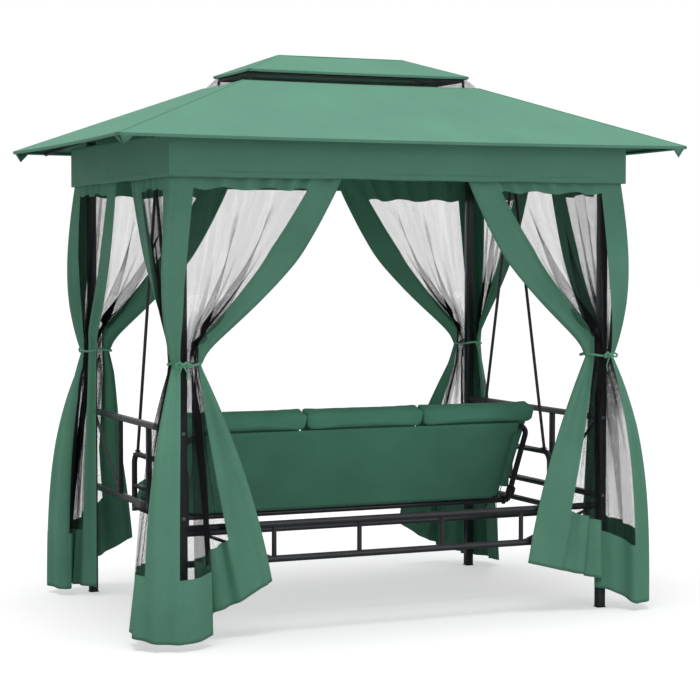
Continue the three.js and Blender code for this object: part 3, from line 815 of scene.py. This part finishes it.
def corner_pockets():
    """The small folded triangles under the roof's corners that take the rafters' ends."""
    verts = []
    faces = []
    lip = POCKET["lip"]
    for sx, sy in CORNERS.values():
        x = sx * EAVE["x"]
        y = sy * EAVE["y"]
        z = EAVE["z"] - POCKET["below"]
        tip = (x - sx * POCKET["tip"][0], y - sy * POCKET["tip"][1], z - POCKET["drop"])
        near, far = POCKET["along"]
        along = [(x - sx * near, y - sy * lip, z), (x - sx * far, y - sy * lip, z - lip)]
        near, far = POCKET["inner"]
        inner = [(x - sx * lip, y - sy * near, z), (x - sx * lip, y - sy * far, z - lip)]
        for a, b in (along, inner):
            first = len(verts)
            mid = tuple((p + q) / 2 for p, q in zip(a, b))
            verts += [a, mid, b, tip]
            faces += [(first, first + 1, first + 3), (first + 1, first + 2, first + 3)]
    made = thicken(piece("corner_pockets", verts, faces, "gazebo", canopy_cloth, smooth_angle=30), 0.0014)
    return made


def roofs():
    panels = four_panels(EAVE, OPENING, (64, 40), 28)
    lower = roof("lower_canopy_cloth", panels, "lower_canopy", 0.016, 0.012)
    trims = [seam_strips("lower_canopy_seams", hip_lines(EAVE, OPENING)), corner_pockets()]

    panels = four_panels(VENT_EAVE, VENT_RIDGE, (40, 20), 14)
    upper = roof("vent_canopy_cloth", panels, "vent_canopy", 0.006, 0.010)
    ridge = ((-VENT_RIDGE["x"], 0, VENT_RIDGE["z"]), (VENT_RIDGE["x"], 0, VENT_RIDGE["z"]))
    trim = seam_strips("vent_canopy_seams", hip_lines(VENT_EAVE, VENT_RIDGE) + [ridge])


def band(name, node, low, high, waves, material):
    """A sheet hung as a closed band round the roof, from low to high rectangles (half x, half y, z)."""
    steps = 120
    rows = 14
    columns = []
    for start, end in zip(AROUND, AROUND[1:] + AROUND[:1]):
        out = Vector((start[1] - end[1], end[0] - start[0])) / -2
        for i in range(steps):
            columns.append((Vector(start).lerp(Vector(end), i / steps), i / steps, out))
    count = len(columns)
    verts = []
    uv = []
    for j in range(rows + 1):
        f = j / rows
        half_x, half_y, z = [a + (b - a) * f for a, b in zip(low, high)]
        for i, (at, t, out) in enumerate(columns):
            ease = min(1, 12 * t * (1 - t)) * (1 - f) ** 1.5
            wave = waves * ease * noise.noise(Vector((at.x * 5 + out.x, at.y * 4 + out.y, 1.7)))
            verts.append((at.x * half_x + out.x * wave, at.y * half_y + out.y * wave, z + wave * 0.5))
            uv.append((i * 0.008, z))
    faces = []
    for j in range(rows):
        for i in range(count):
            n = (i + 1) % count
            faces.append((j * count + i, j * count + n, (j + 1) * count + n, (j + 1) * count + i))
    made = thicken(piece(name, verts, faces, "gazebo", material, smooth_angle=50, uv=uv), 0.0012)
    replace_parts(made, node)
    girth = 2 * (low[0] + low[1] + high[0] + high[1])
    height = math.hypot(high[2] - low[2], max(abs(high[0] - low[0]), abs(high[1] - low[1])))
    return made, (girth, height)


def hung_bands():
    x = VALANCE["x"]
    y = VALANCE["y"]
    valance, flat = band("valance_cloth", "valance", (x, y, VALANCE["low"]), (x, y, VALANCE["high"]), 0.006,
                         canopy_cloth)
    x += VALANCE["stitch_out"]
    y += VALANCE["stitch_out"]
    path = [(sx * x, sy * y, VALANCE["stitch"]) for sx, sy in AROUND + AROUND[:1]]
    hem = Shapes()
    for start, end in zip(path, path[1:]):
        hem.sweep([start, end], rounded_rectangle(0.0012, 0.0022, 0.0005), edge=0.0003)
    stitch = hem.build("valance_hem_stitch", "gazebo", curtain_cloth, "canopy_cloth")
    net, flat = band("vent_net_cloth", "vent_net", VENT_NET["low"], VENT_NET["high"], 0.004, net_cloth)


# ---- curtains ----
# A curtain wraps its post. Across it: a border, net, the corner band, net and a border.
CLOTH = {"border": 0.13, "band_from": 0.74, "band_to": 0.92, "end_border": 1.35, "width": 1.48,
         "column": 0.01}
BAND_MIDDLE = (CLOTH["band_from"] + CLOTH["band_to"]) / 2
DROP = {"top": 1.935, "tie": 1.095, "top_band": 0.14, "hem": 0.25, "above": 54, "below": 46, "hem_rows": 16}
# How much of a strand's way from the tie to its place at the top is still open, by height.
OPENING_BY_HEIGHT = [(1.095, 0.0), (1.14, 0.02), (1.20, 0.13), (1.315, 0.34), (1.40, 0.48), (1.513, 0.65),
                     (1.65, 0.785), (1.82, 0.93), (1.935, 1.0)]
# Plan points (across the cloth, outward along X, outward along Y) from the post's centre.
TOP_ROW = [(0, -0.709, 0.044), (0.74, -0.052, 0.046), (0.83, 0.048, 0.056), (0.92, 0.054, -0.045),
           (1.48, 0.044, -0.549)]
TIE_ROW = [(0, -0.080, 0.000), (0.13, -0.052, 0.034), (0.35, -0.040, 0.038), (0.60, -0.016, 0.038),
           (0.74, 0.018, 0.040), (0.83, 0.042, 0.030), (0.92, 0.038, -0.014), (1.15, 0.036, -0.032),
           (1.35, 0.036, -0.048), (1.48, 0.004, -0.078)]
# The hem: across the cloth, outward along X and Y, and height.
HEMS = {
    "rear_left": [(0, -0.368, 0.040, 0.222), (0.13, -0.235, 0.045, 0.150), (0.28, -0.120, 0.030, 0.105),
                  (0.40, -0.045, 0.035, 0.080), (0.55, -0.095, 0.130, 0.050), (0.66, 0.000, 0.200, 0.030),
                  (0.74, 0.085, 0.210, 0.028), (0.83, 0.155, 0.182, 0.030), (0.92, 0.215, 0.140, 0.040),
                  (1.00, 0.240, 0.080, 0.050), (1.10, 0.215, -0.005, 0.060), (1.22, 0.150, -0.075, 0.060),
                  (1.35, 0.085, -0.120, 0.050), (1.48, 0.030, -0.220, 0.050)],
    "rear_right": [(0, -0.377, 0.037, 0.221), (0.13, -0.235, 0.050, 0.185), (0.30, -0.100, 0.065, 0.152),
                   (0.40, -0.022, 0.088, 0.138), (0.50, -0.060, 0.040, 0.100), (0.60, 0.030, 0.055, 0.080),
                   (0.74, 0.090, 0.150, 0.030), (0.83, 0.150, 0.140, 0.032), (0.92, 0.205, 0.080, 0.050),
                   (1.02, 0.215, -0.010, 0.085), (1.15, 0.150, -0.070, 0.120), (1.35, 0.085, -0.140, 0.140),
                   (1.48, 0.060, -0.260, 0.180)],
    "front_left": [(0, -0.240, 0.040, 0.212), (0.13, -0.115, 0.050, 0.150), (0.30, -0.025, 0.060, 0.105),
                   (0.45, 0.060, 0.090, 0.070), (0.60, 0.140, 0.110, 0.045), (0.74, 0.192, 0.065, 0.030),
                   (0.83, 0.178, -0.012, 0.028), (0.92, 0.124, -0.078, 0.028), (1.06, 0.140, -0.010, 0.040),
                   (1.20, 0.100, 0.020, 0.045), (1.35, 0.081, -0.023, 0.040), (1.48, 0.021, -0.123, 0.040)],
    "front_right": [(0, -0.302, 0.037, 0.206), (0.13, -0.180, 0.050, 0.130), (0.30, -0.070, 0.060, 0.080),
                    (0.45, 0.000, 0.060, 0.055), (0.60, 0.028, 0.110, 0.040), (0.74, 0.070, 0.120, 0.033),
                    (0.83, 0.120, 0.070, 0.030), (0.92, 0.150, -0.010, 0.030), (1.05, 0.110, -0.090, 0.035),
                    (1.20, 0.050, -0.140, 0.050), (1.35, 0.030, -0.200, 0.060), (1.48, 0.000, -0.320, 0.070)],
}
FOLD = {"length": 0.115, "net": 0.55, "cloth": 0.50, "limit": 0.026, "tied_limit": 0.010}
# Flat pleats in the net: where they are across the cloth, their half-width, depth and lift.
PLEATS = {"at": (0.28, 0.50, 1.12), "half": 0.055, "depth": 0.050, "lift": 0.007}
LAG = {"above": 0.125, "below": 0.20, "ramp": 0.13, "fade": 0.50}
TIE = {"z": 1.103, "inward": 0.017, "half": 0.064}
RING = {"z": 1.944, "radius": 0.013, "thickness": 0.0017, "front_y": 0.655, "end_x": 0.991}
BOW = {"z_share": {1: 1.0, -1: 0.8}, "knot": 0.007,
       "loop": [(0, 0, 0), (0.014, 0.007, 0.011), (0.031, 0.010, 0.001), (0.028, 0.006, -0.012),
                (0.008, 0.003, -0.006)],
       "tail": [(0, 0, 0), (0.009, 0.006, -0.018), (0.020, 0.006, -0.044), (0.016, 0.008, -0.072)]}
SEAT_SWEEP = 0.130            # how far the front curtains stand out, clear of the seat's forward swing


def smoothed(values, reach):
    """A running average along the first axis, with the ends held."""
    kernel = np.hanning(2 * reach + 3)[1:-1]
    kernel /= kernel.sum()
    padded = np.concatenate([np.repeat(values[:1], reach, 0), values, np.repeat(values[-1:], reach, 0)])
    return np.stack([np.convolve(padded[:, k], kernel, mode="valid") for k in range(values.shape[1])], 1)


def plan_row(points, across):
    table = np.array(points, float)
    row = np.stack([np.interp(across, table[:, 0], table[:, k]) for k in range(1, table.shape[1])], 1)
    ends = row[[0, -1]].copy()
    row = smoothed(row, 5)
    row[[0, -1]] = ends
    return row


def fold_strength(across):
    """Net folds freely, and the heavier borders and corner band fold less."""
    cloth = ((across < CLOTH["border"]) | (across > CLOTH["end_border"])
             | ((across > CLOTH["band_from"]) & (across < CLOTH["band_to"])))
    share = np.where(cloth, FOLD["cloth"], FOLD["net"])[:, None]
    return smoothed(share, 4)[:, 0]


def fold_shift(plan, across, limit):
    """Sideways folds that keep the cloth its full width where its plan line is shorter than that."""
    slope = np.gradient(plan, across, axis=0)
    length = np.hypot(slope[:, 0], slope[:, 1])
    pace = np.clip(length, 1e-4, 1.0)
    normal = smoothed(np.stack([-slope[:, 1], slope[:, 0]], 1) / length[:, None].clip(1e-4), 3)
    depth = np.minimum(FOLD["length"] / 4 * np.sqrt(1 - pace ** 2), limit) * fold_strength(across)
    wave = np.sin(2 * np.pi * across / FOLD["length"] + 1.3 * np.sin(5.0 * across))
    return normal * (depth * wave)[:, None]


def pleat_shift(plan, across, closed):
    """Flat Z-pleats along the plan line, deeper the more the cloth is drawn together."""
    slope = np.gradient(plan, across, axis=0)
    along = slope / np.hypot(slope[:, 0], slope[:, 1])[:, None].clip(1e-4)
    along = smoothed(along, 3)
    out = np.stack([-along[:, 1], along[:, 0]], 1)
    slide = np.zeros(len(across))
    knots = [(0.0, 0.0)]
    for k, middle in enumerate(PLEATS["at"]):
        x = np.clip((across - middle) / PLEATS["half"], -1, 1)
        slide -= (1 - 0.25 * (k % 2)) * PLEATS["depth"] * np.sin(math.pi * x)
        knots += [(middle - PLEATS["half"], -1.0), (middle + PLEATS["half"], 1.0)]
    lift = np.interp(across, *zip(*knots, (CLOTH["width"], 0.0)))
    return (along * slide[:, None] + out * (PLEATS["lift"] * lift)[:, None]) * closed


def lagging(across):
    """How much a strand is pulled in ahead of the free edges, which keeps the borders broad."""
    edge = np.minimum(across, CLOTH["width"] - across)
    rise = np.clip(edge / LAG["ramp"], 0, 1)
    fall = np.clip(1 - (edge - LAG["ramp"]) / LAG["fade"], 0, 1)
    return (rise * fall)[:, None]


def gathering(grid):
    """How closely each point's row is drawn together, from 0 for flat cloth to 1."""
    step = np.linalg.norm(np.diff(grid, axis=1), axis=2)
    step = np.concatenate([step[:, :1], step], axis=1)
    closeness = np.clip(1 - step / CLOTH["column"], 0, 1)
    return smoothed(closeness.T, 3).T


def folded(plan, across, looseness, closed):
    """A row of cloth with its folds and pleats. looseness is 0 at the tie and 1 where it hangs free."""
    limit = FOLD["tied_limit"] + (FOLD["limit"] - FOLD["tied_limit"]) * min(1, looseness)
    return plan + fold_shift(plan, across, limit) + pleat_shift(plan, across, closed)


def rows_above(across, tie):
    """Rows from the beam down to the tie."""
    top = plan_row(TOP_ROW, across)
    lag = lagging(across)
    near_corner = np.exp(-((across - BAND_MIDDLE) / 0.10) ** 2)
    levels = np.linspace(DROP["top"], DROP["tie"], DROP["above"] + 1)
    opening = np.interp(levels, *np.array(OPENING_BY_HEIGHT).T)
    opening[1:-1] = smoothed(opening[:, None], 5)[1:-1, 0]
    rows = []
    for z, open_share in zip(levels, opening):
        rise = (z - DROP["tie"]) / (DROP["top"] - DROP["tie"])
        drawn = min(1, (1 - rise) * 2.2)
        share = np.clip(open_share - LAG["above"] * drawn * lag, 0, 1)
        bulge = 0.050 * math.sin(math.pi * rise ** 0.8) * near_corner
        plan = tie + (top - tie) * share + np.stack([bulge, bulge * 0.5], 1)
        closed = min(1, rise * 5) * np.clip(1.25 - 1.55 * rise, 0, 1)
        ruffle = 0.006 * np.sin(2 * np.pi * across / 0.17 + 2 * np.sin(7 * across)) * min(1, rise * 2)
        rows.append((folded(plan, across, rise * 3, closed), z + ruffle))
    return rows


def rows_below(across, tie, corner):
    """Rows from the tie down to the top of the hem band, and through it to the hem."""
    hem = plan_row(HEMS[corner], across)
    lag = lagging(across)
    reach = np.where(across < BAND_MIDDLE, 0.35, 0.22)
    round_corner = np.exp(-((across - BAND_MIDDLE) / reach) ** 2)[:, None]
    hem_top = hem[:, 2] + DROP["hem"]
    steps = [(k / DROP["below"], 0.0) for k in range(1, DROP["below"] + 1)]
    steps += [(1.0, k / DROP["hem_rows"]) for k in range(1, DROP["hem_rows"] + 1)]
    rows = []
    for down, hemmed in steps:
        z = DROP["tie"] + (hem_top - DROP["tie"]) * down - DROP["hem"] * hemmed
        fall = ((DROP["tie"] - z) / (DROP["tie"] - hem[:, 2]))[:, None]
        spread = (1 - round_corner) * fall * (1.45 - 0.45 * fall) + round_corner * (1 - (1 - fall) ** 3)
        spread = np.clip(spread - LAG["below"] * 4 * fall * (1 - fall) * lag * (1 - round_corner), 0, 1)
        plan = tie + (hem[:, :2] - tie) * spread
        if corner.startswith("front"):
            clear = np.clip((1.0 - z) / 0.35, 0, 1) * np.clip((0.50 - across) / 0.20, 0, 1)
            plan = plan + np.stack([np.zeros_like(clear), SEAT_SWEEP * clear], 1)
        fallen = float(fall.mean())
        closed = min(1, fallen * 6) * (0.75 - 0.45 * fallen)
        rows.append((folded(plan, across, fallen * 2.5, closed), z))
    return rows


def curtain_grid(corner):
    """The cloth's points, row by row from the top, and each point's distance across it."""
    sx, sy = CORNERS[corner]
    low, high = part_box("post_" + corner)
    centre = (low + high) / 2
    across = np.arange(0, round(CLOTH["width"] / CLOTH["column"]) + 1) * CLOTH["column"]
    tie = plan_row(TIE_ROW, across)
    grid = []
    for plan, z in rows_above(across, tie) + rows_below(across, tie, corner):
        x = centre.x + sx * plan[:, 0]
        y = centre.y + sy * plan[:, 1]
        grid.append(np.stack([x, y, z * np.ones(len(across))], 1))
    return across, np.array(grid)


def cloth_and_net(across, rows):
    """Which material each quad has: 0 for cloth at the borders, corner band and hems, 1 for net."""
    top_band = round(DROP["top_band"] / (DROP["top"] - DROP["tie"]) * DROP["above"])
    hem_from = DROP["above"] + DROP["below"]
    middle = (across[:-1] + across[1:]) / 2
    bordered = (middle < CLOTH["border"]) | (middle > CLOTH["end_border"])
    bordered |= (middle > CLOTH["band_from"]) & (middle < CLOTH["band_to"])
    return [0 if edged or not top_band <= j < hem_from else 1 for j in range(rows - 1) for edged in bordered]


def curtain(corner):
    across, grid = curtain_grid(corner)
    down = np.concatenate([[0], np.cumsum(np.linalg.norm(np.diff(grid.mean(1), axis=0), axis=1))])
    uv = [(a, d) for d in down for a in across]
    faces = grid_faces(len(across) - 1, len(grid) - 1)
    made = piece(f"curtain_{corner}_cloth", grid.reshape(-1, 3), faces, "gazebo", curtain_cloth, net_cloth,
                 indices=cloth_and_net(across, len(grid)), uv=uv, gather=gathering(grid).ravel())
    thicken(made, 0.0012)
    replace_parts(made, "curtain_" + corner)
    tie_ribbon(corner)


def tie_ribbon(corner):
    """A ribbon round the gathered cloth and the post, knotted in a small bow on the outside."""
    sx, sy = CORNERS[corner]
    low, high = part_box("post_" + corner)
    centre = (low + high) / 2
    middle = Vector((centre.x - sx * TIE["inward"], centre.y - sy * TIE["inward"], TIE["z"]))
    shapes = Shapes()
    outline = rounded_rectangle(0.0016, 0.0090, 0.0006)
    rings = []
    for i in range(48):
        angle = 2 * math.pi * i / 48
        out = Vector((sx * math.cos(angle), sy * math.sin(angle), 0))
        size = TIE["half"] / (abs(out.x) ** 3 + abs(out.y) ** 3) ** (1 / 3)
        point = middle + out * size + Vector((0, 0, 0.004 * math.sin(3 * angle)))
        rings.append([point + out * a + Vector((0, 0, b)) for a, b in outline])
    shapes.rings(rings, closed=True)
    knot = middle + Vector((sx * 0.030, sy * (TIE["half"] + 0.004), 0))
    side = Vector((BOW["knot"], 0, 0))
    shapes.sweep([knot - side, knot + side], rounded_rectangle(0.009, 0.012, 0.004))
    ribbon = rounded_rectangle(0.0014, 0.0085, 0.0005)
    for way, z_share in BOW["z_share"].items():
        for strand, bend in ((BOW["loop"], 0.003), (BOW["tail"], 0.008)):
            path = [knot + Vector((way * x, sy * y, z * z_share)) for x, y, z in strand]
            shapes.sweep(rounded_path(path, bend), ribbon)
    return shapes.build(f"tie_ribbon_{corner}", "gazebo", ribbon_cloth, "curtain_cloth")


def curtain_rings():
    """Plastic rings that hold the curtains' top hems to the beams."""
    shapes = Shapes()
    for sx, sy in CORNERS.values():
        along = [((sx * (0.29 + i * 0.125), sy * RING["front_y"], RING["z"]), (1, 0, 0)) for i in range(6)]
        inner = [((sx * RING["end_x"], sy * (0.12 + i * 0.14), RING["z"]), (0, 1, 0)) for i in range(4)]
        for at, axis in along + inner:
            shapes.torus(at, axis, RING["radius"], RING["thickness"], sides=18)
    shapes.build("curtain_rings", "gazebo", plastic, "black_plastic")


# ---- cushions ----
SEAT_PAD = {"width": 0.531, "pitch": 0.535, "front": -0.530, "rear": -0.058, "low": 0.429, "high": 0.530,
            "lip_low": 0.390, "lip_back": -0.500}
BACK_PAD = {"width": 0.548, "pitch": 0.550, "low": 0.050, "high": 0.498, "front": -0.105, "back": -0.014,
            "cap_low": 0.433, "cap_back": 0.016}
PILLOW = {"low": (0.440, -0.365, 0.533), "high": (0.792, -0.024, 0.685)}
VOXEL = 0.006
SWELL = {"pressure": 4.0, "frames": 20}


def slab_mesh(boxes, radius):
    """Boxes with rounded edges, joined into one closed skin by a voxel remesh."""
    bm = bmesh.new()
    for low, high in boxes:
        size = Vector(high) - Vector(low)
        middle = (Vector(high) + Vector(low)) / 2
        made = bmesh.ops.create_cube(bm, size=1.0)
        for vert in made["verts"]:
            vert.co = Vector([vert.co[k] * size[k] for k in range(3)]) + middle
        edges = {edge for vert in made["verts"] for edge in vert.link_edges}
        bmesh.ops.bevel(bm, geom=list(edges), offset=radius, segments=4, profile=0.5, affect="EDGES")
    mesh = bpy.data.meshes.new("slab")
    bm.to_mesh(mesh)
    bm.free()
    made = new_object("slab", mesh)
    remesh = made.modifiers.new("remesh", "REMESH")
    remesh.mode = "VOXEL"
    remesh.voxel_size = VOXEL
    return made


def final_mesh(made):
    """The mesh as its modifiers leave it, with the object itself removed."""
    depsgraph = bpy.context.evaluated_depsgraph_get()
    mesh = bpy.data.meshes.new_from_object(made.evaluated_get(depsgraph))
    bpy.data.objects.remove(made)
    return mesh


def per_vertex(mesh, key):
    """Every vertex's place ("co") or normal ("normal") as rows of an array."""
    values = np.empty(len(mesh.vertices) * 3)
    mesh.vertices.foreach_get(key, values)
    return values.reshape(-1, 3)


def swollen(boxes, radius, cap):
    """A slab blown up as padded cloth, with no point moved further than cap."""
    mesh = final_mesh(slab_mesh(boxes, radius))
    rest = per_vertex(mesh, "co")
    made = new_object("swell", mesh)
    cloth = made.modifiers.new("swell", "CLOTH")
    cloth.settings.use_pressure = True
    cloth.settings.uniform_pressure_force = SWELL["pressure"]
    cloth.settings.effector_weights.gravity = 0
    cloth.settings.quality = 4
    cloth.point_cache.frame_end = SWELL["frames"]
    for step in range(1, SWELL["frames"] + 1):
        bpy.context.scene.frame_set(step)
    grown = final_mesh(made)
    bpy.context.scene.frame_set(1)
    move = per_vertex(grown, "co") - rest
    length = np.linalg.norm(move, axis=1, keepdims=True).clip(1e-9)
    rest += move / length * np.minimum(length, cap)
    mesh.vertices.foreach_set("co", rest.ravel())
    return mesh


def sewn(mesh, seams):
    """Presses seams into a padded mesh. A seam is its distance function, a width and a depth."""
    bm = bmesh.new()
    bm.from_mesh(mesh)
    bmesh.ops.smooth_vert(bm, verts=bm.verts, factor=0.5, use_axis_x=True, use_axis_y=True, use_axis_z=True)
    bmesh.ops.subdivide_edges(bm, edges=bm.edges, cuts=1, use_grid_fill=True)
    bm.to_mesh(mesh)
    bm.free()
    mesh.update()
    place = per_vertex(mesh, "co")
    inward = per_vertex(mesh, "normal")
    press = np.zeros(len(place))
    for distance, width, depth in seams:
        press += depth * np.exp(-(distance(place) / width) ** 2)
    wrinkle = np.array([noise.noise(Vector(p * 22)) for p in place]) * 0.0011
    place -= inward * (press + wrinkle)[:, None]
    mesh.vertices.foreach_set("co", place.ravel())
    mesh.update()
    return mesh


def cushion_piece(name, mesh, body, node, place):
    """A cushion object from a shared shape, moved into its place."""
    own = mesh.copy()
    own.transform(place)
    own.materials.clear()
    own.materials.append(cushion_cloth)
    own.polygons.foreach_set("use_smooth", [True] * len(own.polygons))
    made = new_object(name, own)
    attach(made, body)
    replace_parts(made, node)
    return made


def seat_cushions():
    p = SEAT_PAD
    side = p["width"] / 2 - 0.001
    front = p["front"] + 0.012
    body = ((-side, front, p["low"] + 0.004), (side, p["rear"] - 0.001, p["high"] - 0.026))
    lip = ((-side, front, p["lip_low"] + 0.006), (side, p["lip_back"], p["high"] - 0.05))
    middle = (p["low"] + p["high"]) / 2
    top_seam = p["width"] / 2 - 0.028
    shape = sewn(swollen([body, lip], 0.022, 0.022), [
        (lambda q: np.abs(q[:, 2] - middle - 0.006), 0.0045, 0.0045),
        (lambda q: np.where(q[:, 2] > middle, np.abs(np.abs(q[:, 0]) - top_seam), 1.0), 0.004, 0.0012),
    ])
    for name, column in COLUMNS.items():
        cushion_piece(f"seat_cushion_{name}_pad", shape, "swing", "seat_cushion_" + name,
                      Matrix.Translation((column * p["pitch"], 0, 0)))


def back_cushions():
    p = BACK_PAD
    side = p["width"] / 2 + 0.003
    front = p["front"] + 0.024
    top = p["high"] + 0.003
    pad = ((-side, front, p["low"] - 0.003), (side, p["back"] - 0.004, top))
    cap = ((-side, front, p["cap_low"] + 0.005), (side, p["cap_back"] - 0.004, top))
    middle = (p["front"] + p["back"]) / 2
    shape = sewn(swollen([pad, cap], 0.015, 0.016), [(lambda q: np.abs(q[:, 1] - middle), 0.0045, 0.0045)])
    lean = Matrix.Translation(HINGE) @ Matrix.Rotation(-LEAN, 4, "X")
    for name, column in COLUMNS.items():
        cushion_piece(f"back_cushion_{name}_pad", shape, "backrest", "back_cushion_" + name,
                      lean @ Matrix.Translation((column * p["pitch"], 0, 0)))


def pillows():
    """Loose pillows, thick in the middle and thin at their seamed edge."""
    low = Vector(PILLOW["low"])
    high = Vector(PILLOW["high"])
    middle = (low + high) / 2
    half = (high - low) / 2
    core = Vector((half.x - 0.02, half.y - 0.02, half.z * 0.55))
    mesh = swollen([(-core, core)], 0.036, 0.020)
    place = per_vertex(mesh, "co")
    edge = np.maximum(np.abs(place[:, 0]) / half.x, np.abs(place[:, 1]) / half.y)
    place[:, 2] *= 1.45 - 0.85 * edge ** 3
    mesh.vertices.foreach_set("co", place.ravel())
    shape = sewn(mesh, [(lambda q: np.abs(q[:, 2]), 0.004, 0.004)])
    for name, s in ENDS.items():
        turn = Matrix.Rotation(math.radians(4 * s), 4, "Z")
        place = Matrix.Translation((s * middle.x, middle.y, middle.z)) @ turn
        cushion_piece(f"pillow_{name}_pad", shape, "swing", "pillow_" + name, place)


# ---- stage ----
CAMERA = {"place": (3.4663, 7.9424, 1.5434), "yaw": -0.4057, "pitch": 0.0473, "lens": 100.64,
          "shift": (0.0290, -0.0070)}
FLOOR = {"half": 60.0, "bounce": 0.34, "glow": 0.50}
WORLD_LIGHT = 0.30
SUN = {"energy": 1.30, "spread": 35, "direction": (-0.08, -0.10, -1.0)}
FILLS = [("rear_fill", (-3.0, 8.0, 3.0), 5.0, 45), ("front_fill", (1.0, -8.0, 3.5), 5.0, 45)]


def camera():
    yaw = CAMERA["yaw"]
    pitch = CAMERA["pitch"]
    forward = Vector((math.sin(yaw) * math.cos(pitch), -math.cos(yaw) * math.cos(pitch), -math.sin(pitch)))
    data = bpy.data.cameras.new("camera")
    data.lens = CAMERA["lens"]
    data.sensor_width = 36.0
    data.shift_x, data.shift_y = CAMERA["shift"]
    made = new_object("camera", data)
    made.location = CAMERA["place"]
    made.rotation_euler = forward.to_track_quat("-Z", "Y").to_euler()
    bpy.context.scene.camera = made


def area_light(name, place, target, size, power):
    data = bpy.data.lights.new(name, "AREA")
    data.shape = "DISK"
    data.size = size
    data.energy = power
    made = new_object(name, data)
    made.location = place
    made.rotation_euler = (Vector(target) - Vector(place)).to_track_quat("-Z", "Y").to_euler()


def floor_material():
    """White to the camera, with soft shadows, and darker to the light that bounces off it."""
    material, seen = base_material("floor", (0.82, 0.82, 0.82), 0.9, Emission_Color=(1, 1, 1, 1))
    seen.inputs["Emission Strength"].default_value = FLOOR["glow"]
    bounce = add_node(material, "BsdfDiffuse", {"Color": (*[FLOOR["bounce"]] * 3, 1)})
    mix = add_node(material, "MixShader")
    join(material, add_node(material, "LightPath").outputs["Is Camera Ray"], mix.inputs["Fac"])
    join(material, bounce.outputs["BSDF"], mix.inputs[1])
    join(material, seen.outputs["BSDF"], mix.inputs[2])
    join(material, mix.outputs["Shader"], material.node_tree.nodes["Material Output"].inputs["Surface"])
    return material


def floor():
    side = FLOOR["half"]
    mesh = bpy.data.meshes.new("floor")
    mesh.from_pydata([(sx * side, sy * side, 0) for sx, sy in AROUND], [], [(0, 1, 2, 3)])
    mesh.materials.append(floor_material())
    new_object("floor", mesh)


def surround():
    """An even pale world that lights softly and looks white."""
    world = bpy.data.worlds.new("surround")
    world.use_nodes = True
    nodes = world.node_tree.nodes
    lit = nodes["Background"]
    lit.inputs["Color"].default_value = (1, 1, 1, 1)
    lit.inputs["Strength"].default_value = WORLD_LIGHT
    seen = nodes.new("ShaderNodeBackground")
    seen.inputs["Color"].default_value = (1, 1, 1, 1)
    mix = nodes.new("ShaderNodeMixShader")
    links = world.node_tree.links
    links.new(nodes.new("ShaderNodeLightPath").outputs["Is Camera Ray"], mix.inputs["Fac"])
    links.new(lit.outputs["Background"], mix.inputs[1])
    links.new(seen.outputs["Background"], mix.inputs[2])
    links.new(mix.outputs["Shader"], nodes["World Output"].inputs["Surface"])
    bpy.context.scene.world = world


def overhead_sun():
    data = bpy.data.lights.new("overhead", "SUN")
    data.energy = SUN["energy"]
    data.angle = math.radians(SUN["spread"])
    made = new_object("overhead", data)
    made.rotation_euler = Vector(SUN["direction"]).to_track_quat("-Z", "Y").to_euler()


def studio():
    floor()
    surround()
    overhead_sun()
    for name, place, size, power in FILLS:
        area_light(name, place, (0, 0, 1.0), size, power)
    bpy.context.scene.view_settings.view_transform = "Standard"


# ---- the whole ----
camera()
studio()
for build in (straight_bars, rafters, crown, vent_rods, end_panels, rear_ladder, gazebo_bolts,
              end_frames, hanging_rods, seat_bars, swing_bolts, backrest_tubes, backrest_cover,
              roofs, hung_bands, curtain_rings, seat_cushions, back_cushions, pillows):
    build()
for corner_name in CORNERS:
    curtain(corner_name)
    softened("foot_plug_" + corner_name, 0.0015, plastic)
for end_name in ENDS:
    softened("hanger_bracket_" + end_name, 0.0012, steel)
    softened("pivot_pin_" + end_name, 0.0008, zinc)
    softened("hinge_collar_" + end_name, 0.0010, steel)
